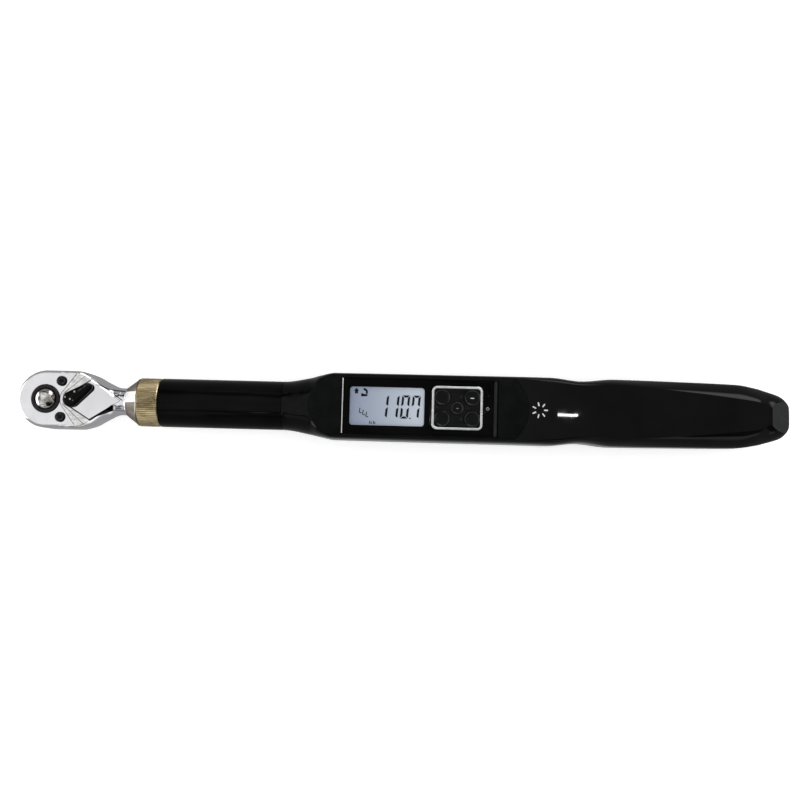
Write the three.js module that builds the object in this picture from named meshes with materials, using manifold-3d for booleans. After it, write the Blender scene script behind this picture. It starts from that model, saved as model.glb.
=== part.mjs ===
// A digital torque wrench with a reversible 3/8 inch ratchet head.
// Millimetres. X runs from the head to the handle's end, Z from the drive square up to the display.
// The origin is the centre of the drive square's end face.
import * as THREE from "three";
import { mergeVertices } from "three/addons/utils/BufferGeometryUtils.js";
import Module from "manifold-3d";

const wasm = await Module();
wasm.setup();

// ---------- driving dimensions ----------

const GAP = 0.3; // clearance between pieces that touch
const FINE_GAP = 0.15; // clearance between gear teeth
const SAG = 0.05; // what a faceted circle falls short of its radius

const DRIVE_SQUARE = 9.525; // 3/8 inch drive
const SQUARE_LENGTH = 10.8;
const AXIS_HEIGHT = 22; // tool axis above the drive square's end face

// Heights from here on are measured from the tool axis.
const SQUARE_END = -AXIS_HEIGHT;
const SQUARE_SHOULDER = SQUARE_END + SQUARE_LENGTH;

const HEAD_RADIUS = 16.7;
const HEAD_BOTTOM = -10.5;
const HEAD_DECK = 8.4; // face that the cover plate lies on
const HEAD_RIM = 10.4; // top of the rim around the cover plate
const PLATE_TOP = 10.9;
const PLATE_MARGIN = 1.9; // from the head's outline to the cover plate
const NECK_RADIUS = 7.95;
const NECK_START = 41.7;
const CONE_START = 44.8;
const CONE_RADIUS = 13.9;
const COLLAR_START = 52.2;
const COLLAR_END = 64.9;
const COLLAR_RADIUS = 14.15;
const COLLAR_RIDGES = 72;
const COLLAR_RIDGE_DEPTH = 0.35;
const SHANK_RADIUS = 11.6;
const PLUG_RADIUS = 10.4;
const PLUG_END = 92;

const GEAR_TEETH = 60;
const GEAR_TIP = 9.6;
const GEAR_ROOT = 8.95;
const GEAR_BOTTOM = -7.8;
const GEAR_TOP = 8.1;
const GEAR_CAVITY = 10;
const CAVITY_FLOOR = -8.2;
const JOURNAL_RADIUS = 8.2;
const BUSH_RADIUS = 8.15;
const BUSH_TOP = 11.5;
const BUTTON_RADIUS = 5.85;
const BUTTON_TOP = 13.7;
const STEM_RADIUS = 2.1;
const BALL_RADIUS = 1.6;
const BALL_HEIGHT = -16.5;
const BALL_OFFSET = 3.95; // ball centre from the drive axis, ball out
const RELEASE_TRAVEL = 2.2;

const PIVOT_X = 14.9; // axis of the reversing lever and the pawl
const LEVER_REACH = 12;
const LEVER_HUB = 4.6;
const LEVER_TIP = 2.5;
const LEVER_ANGLE = 36; // degrees from the tool axis, at rest
const LEVER_SHAFT = 2.2;
const LEVER_FOOT = -9.1;
const PAWL_ROCK = 3.5; // degrees each way from the middle
const PAWL_BOTTOM = -7.8;
const PAWL_TOP = 3;
const SCREW_X = 8.9;
const SCREW_Y = 10.4;

const TUBE_RADIUS = 14.25;
const TUBE_BORE = 10.8;
const SPIGOT_RADIUS = 12.6;
const SPIGOT_END = 157;
const BEAM_HALF = 6;
const BEAM_START = 76;
const BEAM_END = 300;

const BODY_START = 136.5;
const BODY_END = 431.2;
const WALL = 2.3;
const DECK = 17.2; // height of the flat display cover
const UNDERSIDE = 17.4;

const COVER_HALF = 17.2;
const COVER_FRONT = 152.1; // front of the cover's round nose
const COVER_FRONT_RADIUS = 18;
const COVER_REAR = 278.4;
const COVER_REAR_RADIUS = 22;
const COVER_BOTTOM = 13.6;
const LENS_START = 172.4;
const LENS_END = 258;
const LENS_HALF = 15.8;
const LENS_TOP = 17;
const LENS_BOTTOM = 15.9;
const LCD_START = 175.9;
const LCD_END = 218.5;
const LCD_HALF = 11;
const KEYPAD_X = 237.4;
const KEYPAD_HALF_X = 14.6;
const KEYPAD_HALF_Y = 12.5;
const KEYPAD_FRAME = 1.4;
const KEY_PITCH_X = 8.6;
const KEY_PITCH_Y = 6.1;
const KEY_RADIUS = 4.3;
const CENTRE_KEY_RADIUS = 3.4;
const LED_X = 254.8;
const BUZZER_X = 284.6;

const DOOR_START = 322;
const DOOR_END = 386;
const DOOR_HALF = 13;
const DOOR_CEILING = -12; // above the door's inner face
const GRIP_START = 374; // finger grooves across the door
const GRIP_PITCH = 3;
const GRIP_WIDTH = 1.4;
const GRIP_HALF = 6;
const CELL_RADIUS = 7;
const CELL_LENGTH = 50.5;
const CELL_START = 328.5;
const CELL_HEIGHT = -6.2;

// ---------- finishes ----------

const finish = (color, roughness, metalness) => ({ color, roughness, metalness });
const CHROME = finish(0xd8d8dc, 0.12, 1);
const STEEL = finish(0x9a9a9c, 0.35, 1);
const BLACK_OXIDE = finish(0x101012, 0.35, 0.8);
const BRASS = finish(0x7d6d50, 0.42, 0.9);
const GLOSS_BLACK = finish(0x060607, 0.15, 0);
const MATTE_BLACK = finish(0x111313, 0.7, 0);
const DARK_GREY = finish(0x3a3d3d, 0.5, 0);
const SILVER = finish(0xb4b5b2, 0.3, 0.8);
const LCD_GREY = finish(0x9aa8bb, 0.3, 0);
const WHITE = finish(0xe6e8ea, 0.5, 0);
const RUBBER = finish(0x0b0c0c, 0.45, 0);
const BOARD_GREEN = finish(0x1d5a38, 0.5, 0);
const FOIL = finish(0xb9813c, 0.5, 0.2);
const CELL_WRAP = finish(0x2e3338, 0.35, 0.3);

// ---------- shape helpers ----------

// A closed geometry as a manifold-3d solid, with its faces turned outwards.
function solid(geometry) {
  const loose = geometry.index ? geometry.toNonIndexed() : geometry;
  const bare = new THREE.BufferGeometry();
  bare.setAttribute("position", loose.getAttribute("position"));
  const merged = mergeVertices(bare, 1e-4);
  const triVerts = new Uint32Array(merged.index.array);
  const vertProperties = merged.attributes.position.array;
  const made = new wasm.Manifold(new wasm.Mesh({ numProp: 3, vertProperties, triVerts }));
  if (made.volume() > 0) return made;
  const turned = triVerts.slice();
  for (let i = 0; i < turned.length; i += 3) {
    turned[i] = triVerts[i + 1];
    turned[i + 1] = triVerts[i];
  }
  return new wasm.Manifold(new wasm.Mesh({ numProp: 3, vertProperties, triVerts: turned }));
}

const join = (first, ...others) => others.reduce((sum, next) => sum.add(next), first);
const cut = (first, ...others) => others.reduce((rest, next) => rest.subtract(next), first);

function box(x0, x1, y0, y1, z0, z1) {
  const block = new THREE.BoxGeometry(x1 - x0, y1 - y0, z1 - z0);
  return solid(block.translate((x0 + x1) / 2, (y0 + y1) / 2, (z0 + z1) / 2));
}

function rodZ(radius, x, y, z0, z1, sides = 24) {
  const rod = new THREE.CylinderGeometry(radius, radius, z1 - z0, sides);
  return solid(rod.rotateX(Math.PI / 2).translate(x, y, (z0 + z1) / 2));
}

function rodX(radius, x0, x1, y, z, sides = 24) {
  const rod = new THREE.CylinderGeometry(radius, radius, x1 - x0, sides);
  return solid(rod.rotateZ(Math.PI / 2).translate((x0 + x1) / 2, y, z));
}

function rodY(radius, x, y0, y1, z, sides = 24) {
  const rod = new THREE.CylinderGeometry(radius, radius, y1 - y0, sides);
  return solid(rod.translate(x, (y0 + y1) / 2, z));
}

// A profile of [x, radius] points turned about the tool axis.
function turnedX(profile, sides = 36) {
  const points = profile.map(([x, radius]) => new THREE.Vector2(radius, x));
  return solid(new THREE.LatheGeometry(points, sides).rotateZ(-Math.PI / 2));
}

// A profile of [radius, z] points turned about the drive axis.
function turnedZ(profile, sides = 28) {
  const points = profile.map(([radius, z]) => new THREE.Vector2(radius, z));
  return solid(new THREE.LatheGeometry(points, sides).rotateX(Math.PI / 2));
}

function prism(shape, z0, z1, curveSegments = 10) {
  const options = { depth: z1 - z0, bevelEnabled: false, curveSegments };
  return solid(new THREE.ExtrudeGeometry(shape, options).translate(0, 0, z0));
}

function polygon(points) {
  return new THREE.Shape(points.map(([x, y]) => new THREE.Vector2(x, y)));
}

function roundedRectangle(x0, x1, y0, y1, radius) {
  const shape = new THREE.Shape();
  shape.moveTo(x0 + radius, y0);
  shape.lineTo(x1 - radius, y0);
  shape.absarc(x1 - radius, y0 + radius, radius, -Math.PI / 2, 0);
  shape.lineTo(x1, y1 - radius);
  shape.absarc(x1 - radius, y1 - radius, radius, 0, Math.PI / 2);
  shape.lineTo(x0 + radius, y1);
  shape.absarc(x0 + radius, y1 - radius, radius, Math.PI / 2, Math.PI);
  shape.lineTo(x0, y0 + radius);
  shape.absarc(x0 + radius, y0 + radius, radius, Math.PI, Math.PI * 1.5);
  return shape;
}

// A closed skin over rings of points, which all have the same number of points.
function loft(rings) {
  const count = rings[0].length;
  const vertices = rings.flat();
  const triangles = [];
  for (let i = 0; i + 1 < rings.length; i += 1) {
    for (let j = 0; j < count; j += 1) {
      const next = (j + 1) % count;
      const a = i * count + j;
      const b = i * count + next;
      triangles.push(a, b, a + count, b, b + count, a + count);
    }
  }
  const last = (rings.length - 1) * count;
  for (let j = 1; j + 1 < count; j += 1) {
    triangles.push(0, j + 1, j);
    triangles.push(last, last + j, last + j + 1);
  }
  const geometry = new THREE.BufferGeometry().setFromPoints(vertices);
  geometry.setIndex(triangles);
  return solid(geometry);
}

const CORNER_STEPS = 4;

// One cross-section of the body: flats above and below, elliptical corners between.
// A crease makes the upper corners leave the flat at an angle, so that its edge is crisp.
function ring(section) {
  const { x, half, top, bottom, flatTop, flatBottom, shoulder, crease } = section;
  const points = [];
  const corner = (side, sign, flat, height, from, to) => {
    for (let i = 0; i <= CORNER_STEPS; i += 1) {
      const t = from + ((to - from) * i) / CORNER_STEPS;
      const angle = (t * Math.PI) / 2;
      const y = flat + (half - flat) * Math.sin(angle);
      const dip = sign > 0 ? (crease * Math.sin(2 * angle)) / 2 : 0;
      const z = shoulder + (height - shoulder) * (Math.cos(angle) - dip);
      points.push(new THREE.Vector3(x, side * y, sign * z));
    }
  };
  corner(1, 1, flatTop, top, 0, 1);
  corner(1, -1, flatBottom, bottom, 1, 0);
  corner(-1, -1, flatBottom, bottom, 0, 1);
  corner(-1, 1, flatTop, top, 1, 0);
  return points;
}

// A value between hand-picked stations, on a cubic that never overshoots them.
function between(stations, key, x) {
  const last = stations.length - 1;
  if (x <= stations[0].x) return stations[0][key];
  if (x >= stations[last].x) return stations[last][key];
  const slope = (i) => (stations[i + 1][key] - stations[i][key]) / (stations[i + 1].x - stations[i].x);
  const tangent = (i) => {
    if (i === 0 || i === last) return 0;
    const before = slope(i - 1);
    const after = slope(i);
    return before * after <= 0 ? 0 : (2 * before * after) / (before + after);
  };
  const i = stations.findIndex((station, n) => n < last && x <= stations[n + 1].x);
  const span = stations[i + 1].x - stations[i].x;
  const t = (x - stations[i].x) / span;
  const start = stations[i][key] * (1 + 2 * t) * (1 - t) ** 2;
  const end = stations[i + 1][key] * t * t * (3 - 2 * t);
  return start + end + span * (tangent(i) * t * (1 - t) ** 2 - tangent(i + 1) * t * t * (1 - t));
}

function sectionAt(stations, x) {
  const section = { x };
  for (const key of ["half", "top", "bottom", "flatTop", "flatBottom", "shoulder", "crease"]) {
    section[key] = between(stations, key, x);
  }
  return section;
}

// A coil spring of round wire, from start to end, about the line through them.
function spring(radius, wire, turns, start, end) {
  const axis = end.clone().sub(start);
  const along = axis.clone().normalize();
  const side = new THREE.Vector3(0, 1, 0);
  const up = along.clone().cross(side);
  const steps = turns * 8;
  const points = [];
  for (let i = 0; i <= steps; i += 1) {
    const angle = (i / 8) * Math.PI * 2;
    const point = start.clone().addScaledVector(axis, i / steps);
    point.addScaledVector(side, radius * Math.cos(angle)).addScaledVector(up, radius * Math.sin(angle));
    points.push(point);
  }
  const section = new THREE.Shape().absarc(0, 0, wire, 0, Math.PI * 2);
  const options = { steps, extrudePath: new THREE.CatmullRomCurve3(points), curveSegments: 2 };
  return solid(new THREE.ExtrudeGeometry(section, options));
}

// ---------- assembly ----------

const tool = new THREE.Group();
tool.position.z = AXIS_HEIGHT;
const wrench = new THREE.Group();
wrench.add(tool);

function piece(name, shape, material) {
  const made = shape.getMesh();
  const geometry = new THREE.BufferGeometry();
  geometry.setAttribute("position", new THREE.BufferAttribute(made.vertProperties, made.numProp));
  geometry.setIndex(new THREE.BufferAttribute(made.triVerts, 1));
  geometry.computeVertexNormals();
  const mesh = new THREE.Mesh(geometry, new THREE.MeshStandardMaterial(material));
  mesh.name = name;
  tool.add(mesh);
}

// ---------- ratchet head ----------

// The tail of the head: a wide flat section that narrows to the round neck.
const TAIL = [
  { x: 8, half: 16.7, top: 10.4, bottom: 10.5, flatTop: 15.2, flatBottom: 15.5, shoulder: 8.2, crease: 0 },
  { x: 17, half: 16.7, top: 9.95, bottom: 10.5, flatTop: 14.8, flatBottom: 15.5, shoulder: 7.6, crease: 0 },
  { x: 24.8, half: 15.2, top: 9.4, bottom: 10.3, flatTop: 11.2, flatBottom: 13, shoulder: 5, crease: 0.5 },
  { x: 34, half: 10.7, top: 8.6, bottom: 9, flatTop: 5.2, flatBottom: 7, shoulder: 2.4, crease: 0.6 },
  { x: 41.7, half: 7.95, top: 7.95, bottom: 7.95, flatTop: 0.4, flatBottom: 0.4, shoulder: 0.2, crease: 0 },
];

function headTail() {
  const stations = 10;
  const rings = [];
  for (let i = 0; i <= stations; i += 1) {
    const x = THREE.MathUtils.lerp(TAIL[0].x, NECK_START, i / stations);
    rings.push(ring(sectionAt(TAIL, x)));
  }
  return loft(rings);
}

// The head's round front, whose rim is chamfered: each level is a margin from the outline and a height.
const FRONT_END = 12;
const FRONT_LEVELS = [
  [0.9, HEAD_BOTTOM],
  [0, HEAD_BOTTOM + 0.9],
  [0, 8.3],
  [0.25, 9],
  [1.5, HEAD_RIM],
];

function headFront() {
  const steps = 28;
  return loft(FRONT_LEVELS.map(([margin, z]) => {
    const radius = HEAD_RADIUS - margin;
    const points = [new THREE.Vector3(FRONT_END, radius, z)];
    for (let i = 0; i <= steps; i += 1) {
      const angle = (0.5 + i / steps) * Math.PI;
      points.push(new THREE.Vector3(radius * Math.cos(angle), radius * Math.sin(angle), z));
    }
    points.push(new THREE.Vector3(FRONT_END, -radius, z));
    return points;
  }));
}

// Outline of the head's round front, set in by a margin, closed straight across at x = end.
function frontOutline(margin, end) {
  const radius = HEAD_RADIUS - margin;
  const shape = new THREE.Shape();
  shape.moveTo(end, radius);
  shape.lineTo(0, radius);
  shape.absarc(0, 0, radius, Math.PI / 2, Math.PI * 1.5);
  shape.lineTo(end, -radius);
  return shape;
}

// The part of the deck that the cover plate fills: it ends in a V with a round notch for the lever.
const V_OUTER_X = 20.2;
const V_INNER_X = 10.4;
const V_INNER_Y = 3;
const NOTCH_RADIUS = 5;

function plateArea(margin, z0, z1) {
  const area = prism(frontOutline(margin, V_OUTER_X - margin), z0, z1, 14);
  const v = polygon([
    [V_INNER_X - margin, V_INNER_Y],
    [V_OUTER_X - margin, HEAD_RADIUS],
    [V_OUTER_X + 5, HEAD_RADIUS],
    [V_OUTER_X + 5, -HEAD_RADIUS],
    [V_OUTER_X - margin, -HEAD_RADIUS],
    [V_INNER_X - margin, -V_INNER_Y],
  ]);
  return cut(area, prism(v, z0 - 1, z1 + 1), rodZ(NOTCH_RADIUS + margin, PIVOT_X, 0, z0 - 1, z1 + 1));
}

// A lowered three-sided band between the cover plate's V and the flat facet behind the lever.
const BAND_INNER = [9.4, 1.6, 10];
const BAND_OUTER = [20.8, 17.5, 9.4];
const BAND_FACET = [24.7, 11.3, 8.6];

function loweredBand(side) {
  const points = [BAND_INNER, BAND_OUTER, [26.5, 17.5, 8.7], BAND_FACET];
  const at = (lift) => points.map(([x, y, z]) => new THREE.Vector3(x, side * y, z + lift));
  return loft([at(0), at(4)]);
}

// The space that the pawl rocks in, behind the gear.
const POCKET_START = 2;
const POCKET_BEND = 13.6;
const POCKET_END = 20.2;
const POCKET_HALF = 9.6;
const POCKET_END_HALF = 4;

function pawlPocket() {
  const outline = polygon([
    [POCKET_START, -POCKET_HALF],
    [POCKET_BEND, -POCKET_HALF],
    [POCKET_END, -POCKET_END_HALF],
    [POCKET_END, POCKET_END_HALF],
    [POCKET_BEND, POCKET_HALF],
    [POCKET_START, POCKET_HALF],
  ]);
  return prism(outline, CAVITY_FLOOR, PAWL_TOP + 0.4);
}

const PLUNGER_HEIGHT = -3;
const PLUNGER_BORE = 1.8;
const PLUNGER_BORE_END = 27.4;
const PLUNGER_START = 19.6;
const PLUNGER_END = 22.4;
const PIN_X = 84; // the pin through the shank and the strain beam
const PIN_BORE = 2.3;
const SCREW_BORE = 1.8;
const SCREW_BORE_FLOOR = 4.5;
const SCREW_RECESS = 3.2;
const SCREW_HEAD = 2.9;

function headBody() {
  const shank = turnedX([
    [NECK_START - 4, 0],
    [NECK_START - 4, NECK_RADIUS],
    [CONE_START, NECK_RADIUS],
    [COLLAR_START, CONE_RADIUS],
    [COLLAR_START, SHANK_RADIUS],
    [COLLAR_END, SHANK_RADIUS],
    [COLLAR_END, PLUG_RADIUS],
    [PLUG_END, PLUG_RADIUS],
    [PLUG_END, 0],
  ]);
  const beamSlot = BEAM_HALF + GAP;
  const body = cut(
    join(headFront(), headTail(), shank),
    plateArea(PLATE_MARGIN - GAP, HEAD_DECK, PLATE_TOP + 2),
    loweredBand(1),
    loweredBand(-1),
    rodZ(GEAR_CAVITY + SAG, 0, 0, CAVITY_FLOOR, PLATE_TOP, 32),
    rodZ(JOURNAL_RADIUS + GAP + SAG, 0, 0, HEAD_BOTTOM - 1, 0, 28),
    pawlPocket(),
    rodZ(LEVER_SHAFT + 0.2, PIVOT_X, 0, LEVER_FOOT - GAP, PLATE_TOP + 1),
    rodX(PLUNGER_BORE, POCKET_END - 2, PLUNGER_BORE_END, 0, PLUNGER_HEIGHT, 16),
    box(BEAM_START - GAP, PLUG_END + 1, -beamSlot, beamSlot, -beamSlot, beamSlot),
    rodZ(PIN_BORE, PIN_X, 0, -PLUG_RADIUS - 1, PLUG_RADIUS + 1, 16),
  );
  const screwHoles = [1, -1].map((side) => rodZ(SCREW_BORE, SCREW_X, side * SCREW_Y, SCREW_BORE_FLOOR, PLATE_TOP, 16));
  return cut(body, ...screwHoles);
}

function coverPlate() {
  const holes = [1, -1].flatMap((side) => [
    rodZ(SCREW_BORE, SCREW_X, side * SCREW_Y, HEAD_DECK, PLATE_TOP + 1, 16),
    rodZ(SCREW_RECESS, SCREW_X, side * SCREW_Y, PLATE_TOP - 1, PLATE_TOP + 1, 20),
  ]);
  return cut(
    plateArea(PLATE_MARGIN, HEAD_DECK + GAP, PLATE_TOP),
    rodZ(BUSH_RADIUS + GAP + SAG, 0, 0, 0, PLATE_TOP + 1, 28),
    ...holes,
  );
}

// A button-head screw with a star recess, head up.
function coverScrew(side) {
  const head = turnedZ([
    [0, SCREW_BORE_FLOOR + 0.5],
    [SCREW_BORE - GAP, SCREW_BORE_FLOOR + 0.5],
    [SCREW_BORE - GAP, PLATE_TOP - 0.8],
    [SCREW_HEAD, PLATE_TOP - 0.8],
    [SCREW_HEAD, PLATE_TOP + 0.1],
    [2.3, PLATE_TOP + 0.6],
    [0, PLATE_TOP + 0.6],
  ], 16);
  const star = new THREE.Shape();
  for (let i = 0; i < 12; i += 1) {
    const angle = (i / 12) * Math.PI * 2;
    const radius = i % 2 ? 0.95 : 1.4;
    star.lineTo(radius * Math.cos(angle), radius * Math.sin(angle));
  }
  const recessed = cut(head, prism(star, PLATE_TOP - 0.9, PLATE_TOP + 1));
  return recessed.translate([SCREW_X, side * SCREW_Y, 0]);
}

// ---------- drive gear and quick release ----------

function gearOutline(clearance) {
  const points = [];
  for (let i = 0; i < GEAR_TEETH * 2; i += 1) {
    const angle = (i / (GEAR_TEETH * 2)) * Math.PI * 2;
    const radius = (i % 2 ? GEAR_ROOT : GEAR_TIP) + clearance;
    points.push([radius * Math.cos(angle), radius * Math.sin(angle)]);
  }
  return polygon(points);
}

function driveGear() {
  const half = DRIVE_SQUARE / 2;
  const squareOutline = roundedRectangle(-half, half, -half, half, 0.8);
  const body = join(
    prism(gearOutline(0), GEAR_BOTTOM, GEAR_TOP),
    rodZ(JOURNAL_RADIUS, 0, 0, SQUARE_SHOULDER, GEAR_BOTTOM + 1, 28),
    prism(squareOutline, SQUARE_END, SQUARE_SHOULDER + 1, 3),
  );
  return cut(
    body,
    rodZ(BUTTON_RADIUS + GAP, 0, 0, 2.6, GEAR_TOP + 1, 30),
    rodZ(STEM_RADIUS + 0.25, 0, 0, SQUARE_END + 2, GEAR_TOP, 20),
    rodY(BALL_RADIUS + FINE_GAP, 0, 0, half + 1, BALL_HEIGHT, 20),
  );
}

function gearBush() {
  return turnedZ([
    [BUTTON_RADIUS + GAP, GEAR_TOP + GAP],
    [BUSH_RADIUS, GEAR_TOP + GAP],
    [BUSH_RADIUS, BUSH_TOP - 0.3],
    [BUSH_RADIUS - 0.4, BUSH_TOP],
    [BUTTON_RADIUS + GAP, BUSH_TOP],
    [BUTTON_RADIUS + GAP, GEAR_TOP + GAP],
  ]);
}

// The domed push button with its stem, whose waist lets the ball drop in when it is pressed.
function releaseButton() {
  const skirt = BUTTON_TOP - 3.6;
  const dome = [];
  for (let i = 0; i <= 6; i += 1) {
    const angle = (i / 6) * (Math.PI / 2);
    dome.push([BUTTON_RADIUS * Math.cos(angle), skirt + 1 + (BUTTON_TOP - skirt - 1) * Math.sin(angle)]);
  }
  return turnedZ([
    [0, SQUARE_END + 4.6],
    [STEM_RADIUS, SQUARE_END + 4.6],
    [STEM_RADIUS, BALL_HEIGHT + 0.1],
    [1.25, BALL_HEIGHT + 1.3],
    [1.25, BALL_HEIGHT + RELEASE_TRAVEL + 1.8],
    [STEM_RADIUS, BALL_HEIGHT + RELEASE_TRAVEL + 2.4],
    [STEM_RADIUS, skirt - 1.5],
    [BUTTON_RADIUS, skirt - 1.5],
    ...dome,
  ], 24);
}

const detentBall = () => solid(new THREE.SphereGeometry(BALL_RADIUS, 12, 8).translate(0, BALL_OFFSET, BALL_HEIGHT));

const releaseSpring = () =>
  spring(4, 0.45, 3, new THREE.Vector3(0, 0, 3.4), new THREE.Vector3(0, 0, 7.9));

// ---------- reversing lever and pawl ----------

// A turn about the vertical line through the lever's pivot.
function turnAtPivot(shape, degrees) {
  return shape.translate([-PIVOT_X, 0, 0]).rotate([0, 0, degrees]).translate([PIVOT_X, 0, 0]);
}

function teardrop(inset) {
  const hub = LEVER_HUB - inset;
  const tip = LEVER_TIP - inset;
  const lean = Math.acos((hub - tip) / LEVER_REACH);
  const shape = new THREE.Shape();
  shape.absarc(PIVOT_X, 0, hub, lean, Math.PI * 2 - lean);
  shape.absarc(PIVOT_X + LEVER_REACH, 0, tip, -lean, lean);
  return shape;
}

function reversingLever() {
  const bottom = PLATE_TOP + 0.4;
  const lever = join(
    prism(teardrop(0), bottom, bottom + 2, 8),
    prism(teardrop(0.7), bottom + 1, bottom + 2.9, 8),
    rodZ(1.9, PIVOT_X + LEVER_REACH, 0, bottom + 2, bottom + 3.6, 16),
    box(PIVOT_X + 3, PIVOT_X + LEVER_REACH, -1.1, 1.1, bottom + 2, bottom + 3.4),
    rodZ(LEVER_HUB - 0.2, PIVOT_X, 0, PLATE_TOP - 0.5, bottom + 1, 18),
    rodZ(LEVER_SHAFT, PIVOT_X, 0, LEVER_FOOT, bottom + 1, 20),
  );
  return turnAtPivot(lever, LEVER_ANGLE);
}

function pawl() {
  const outerRadius = 12.4;
  const innerRadius = 9;
  const span = THREE.MathUtils.degToRad(41);
  const crescent = new THREE.Shape();
  crescent.absarc(0, 0, outerRadius, -span, span);
  crescent.absarc(0, 0, innerRadius, span, -span, true);
  const blank = join(prism(crescent, PAWL_BOTTOM, PAWL_TOP, 16), rodZ(4.2, PIVOT_X, 0, PAWL_BOTTOM, PAWL_TOP, 28));
  const teeth = prism(gearOutline(FINE_GAP), PAWL_BOTTOM - 1, PAWL_TOP + 1);
  const toothed = cut(blank, turnAtPivot(teeth, PAWL_ROCK), turnAtPivot(teeth, -PAWL_ROCK));
  const relief = cut(
    toothed,
    rodZ(GEAR_TIP + 0.7, 0, 0, PAWL_BOTTOM - 1, PAWL_TOP + 1, 40).intersect(box(0, 12, -4.6, 4.6, -10, 10)),
    rodZ(LEVER_SHAFT + 0.25, PIVOT_X, 0, PAWL_BOTTOM - 1, PAWL_TOP + 1, 20),
  );
  return turnAtPivot(relief, PAWL_ROCK);
}

const detentPlunger = () => rodX(PLUNGER_BORE - GAP, PLUNGER_START, PLUNGER_END, 0, PLUNGER_HEIGHT, 16);

function detentSpring() {
  const wire = 0.28;
  const start = new THREE.Vector3(PLUNGER_END + 0.7, 0, PLUNGER_HEIGHT);
  return spring(1.15, wire, 3, start, new THREE.Vector3(PLUNGER_BORE_END - 0.7, 0, PLUNGER_HEIGHT));
}

// ---------- collar, tube and strain beam ----------

function knurledCollar() {
  const points = [];
  for (let i = 0; i < COLLAR_RIDGES * 2; i += 1) {
    const angle = (i / (COLLAR_RIDGES * 2)) * Math.PI * 2;
    const radius = COLLAR_RADIUS - (i % 2 ? COLLAR_RIDGE_DEPTH : 0);
    points.push([radius * Math.cos(angle), radius * Math.sin(angle)]);
  }
  const length = COLLAR_END - COLLAR_START - GAP;
  const options = { depth: length, bevelEnabled: false };
  const knurl = new THREE.ExtrudeGeometry(polygon(points), options).rotateY(Math.PI / 2);
  knurl.translate(COLLAR_START + GAP, 0, 0);
  return cut(solid(knurl), rodX(SHANK_RADIUS + GAP, COLLAR_START - 1, COLLAR_END + 1, 0, 0, 40));
}

function tube() {
  return turnedX([
    [COLLAR_END + GAP, TUBE_BORE],
    [COLLAR_END + GAP, TUBE_RADIUS - 0.4],
    [COLLAR_END + GAP + 0.4, TUBE_RADIUS],
    [BODY_START - GAP, TUBE_RADIUS],
    [BODY_START - GAP, SPIGOT_RADIUS],
    [SPIGOT_END, SPIGOT_RADIUS],
    [SPIGOT_END, TUBE_BORE],
    [COLLAR_END + GAP, TUBE_BORE],
  ]);
}

const BEAM_SCREWS = [282, 294];
const WAIST_START = 112; // the thinned stretch that carries the gauges
const WAIST_END = 132;
const WAIST_DEPTH = 1.4;

function strainBeam() {
  const thinned = [1, -1].map((side) => {
    const inner = side > 0 ? BEAM_HALF - WAIST_DEPTH : -BEAM_HALF - 1;
    return box(WAIST_START, WAIST_END, inner, inner + WAIST_DEPTH + 1, -BEAM_HALF - 1, BEAM_HALF + 1);
  });
  const holes = BEAM_SCREWS.map((x) => rodZ(PIN_BORE, x, 0, -BEAM_HALF - 1, 2, 16));
  return cut(
    box(BEAM_START, BEAM_END, -BEAM_HALF, BEAM_HALF, -BEAM_HALF, BEAM_HALF),
    ...thinned,
    ...holes,
    rodZ(PIN_BORE, PIN_X, 0, -BEAM_HALF - 1, BEAM_HALF + 1, 16),
  );
}

function strainGauge(side) {
  const face = BEAM_HALF - WAIST_DEPTH;
  const patch = box(WAIST_START + 5, WAIST_END - 5, face + 0.1, face + 0.4, -3, 3);
  return side > 0 ? patch : patch.mirror([0, 1, 0]);
}

const shankPin = () => rodZ(PIN_BORE - GAP, PIN_X, 0, -PLUG_RADIUS + 0.4, PLUG_RADIUS - 0.4, 16);

function beamScrew(x) {
  const head = rodZ(BEAM_SCREW_HEAD - 0.4, x, 0, -UNDERSIDE + 0.4, BEAM_SCREW_SEAT - GAP, 20);
  return join(rodZ(PIN_BORE - GAP, x, 0, BEAM_SCREW_SEAT - 0.5, 1.5, 16), head);
}

// ---------- handle shells ----------

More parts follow.
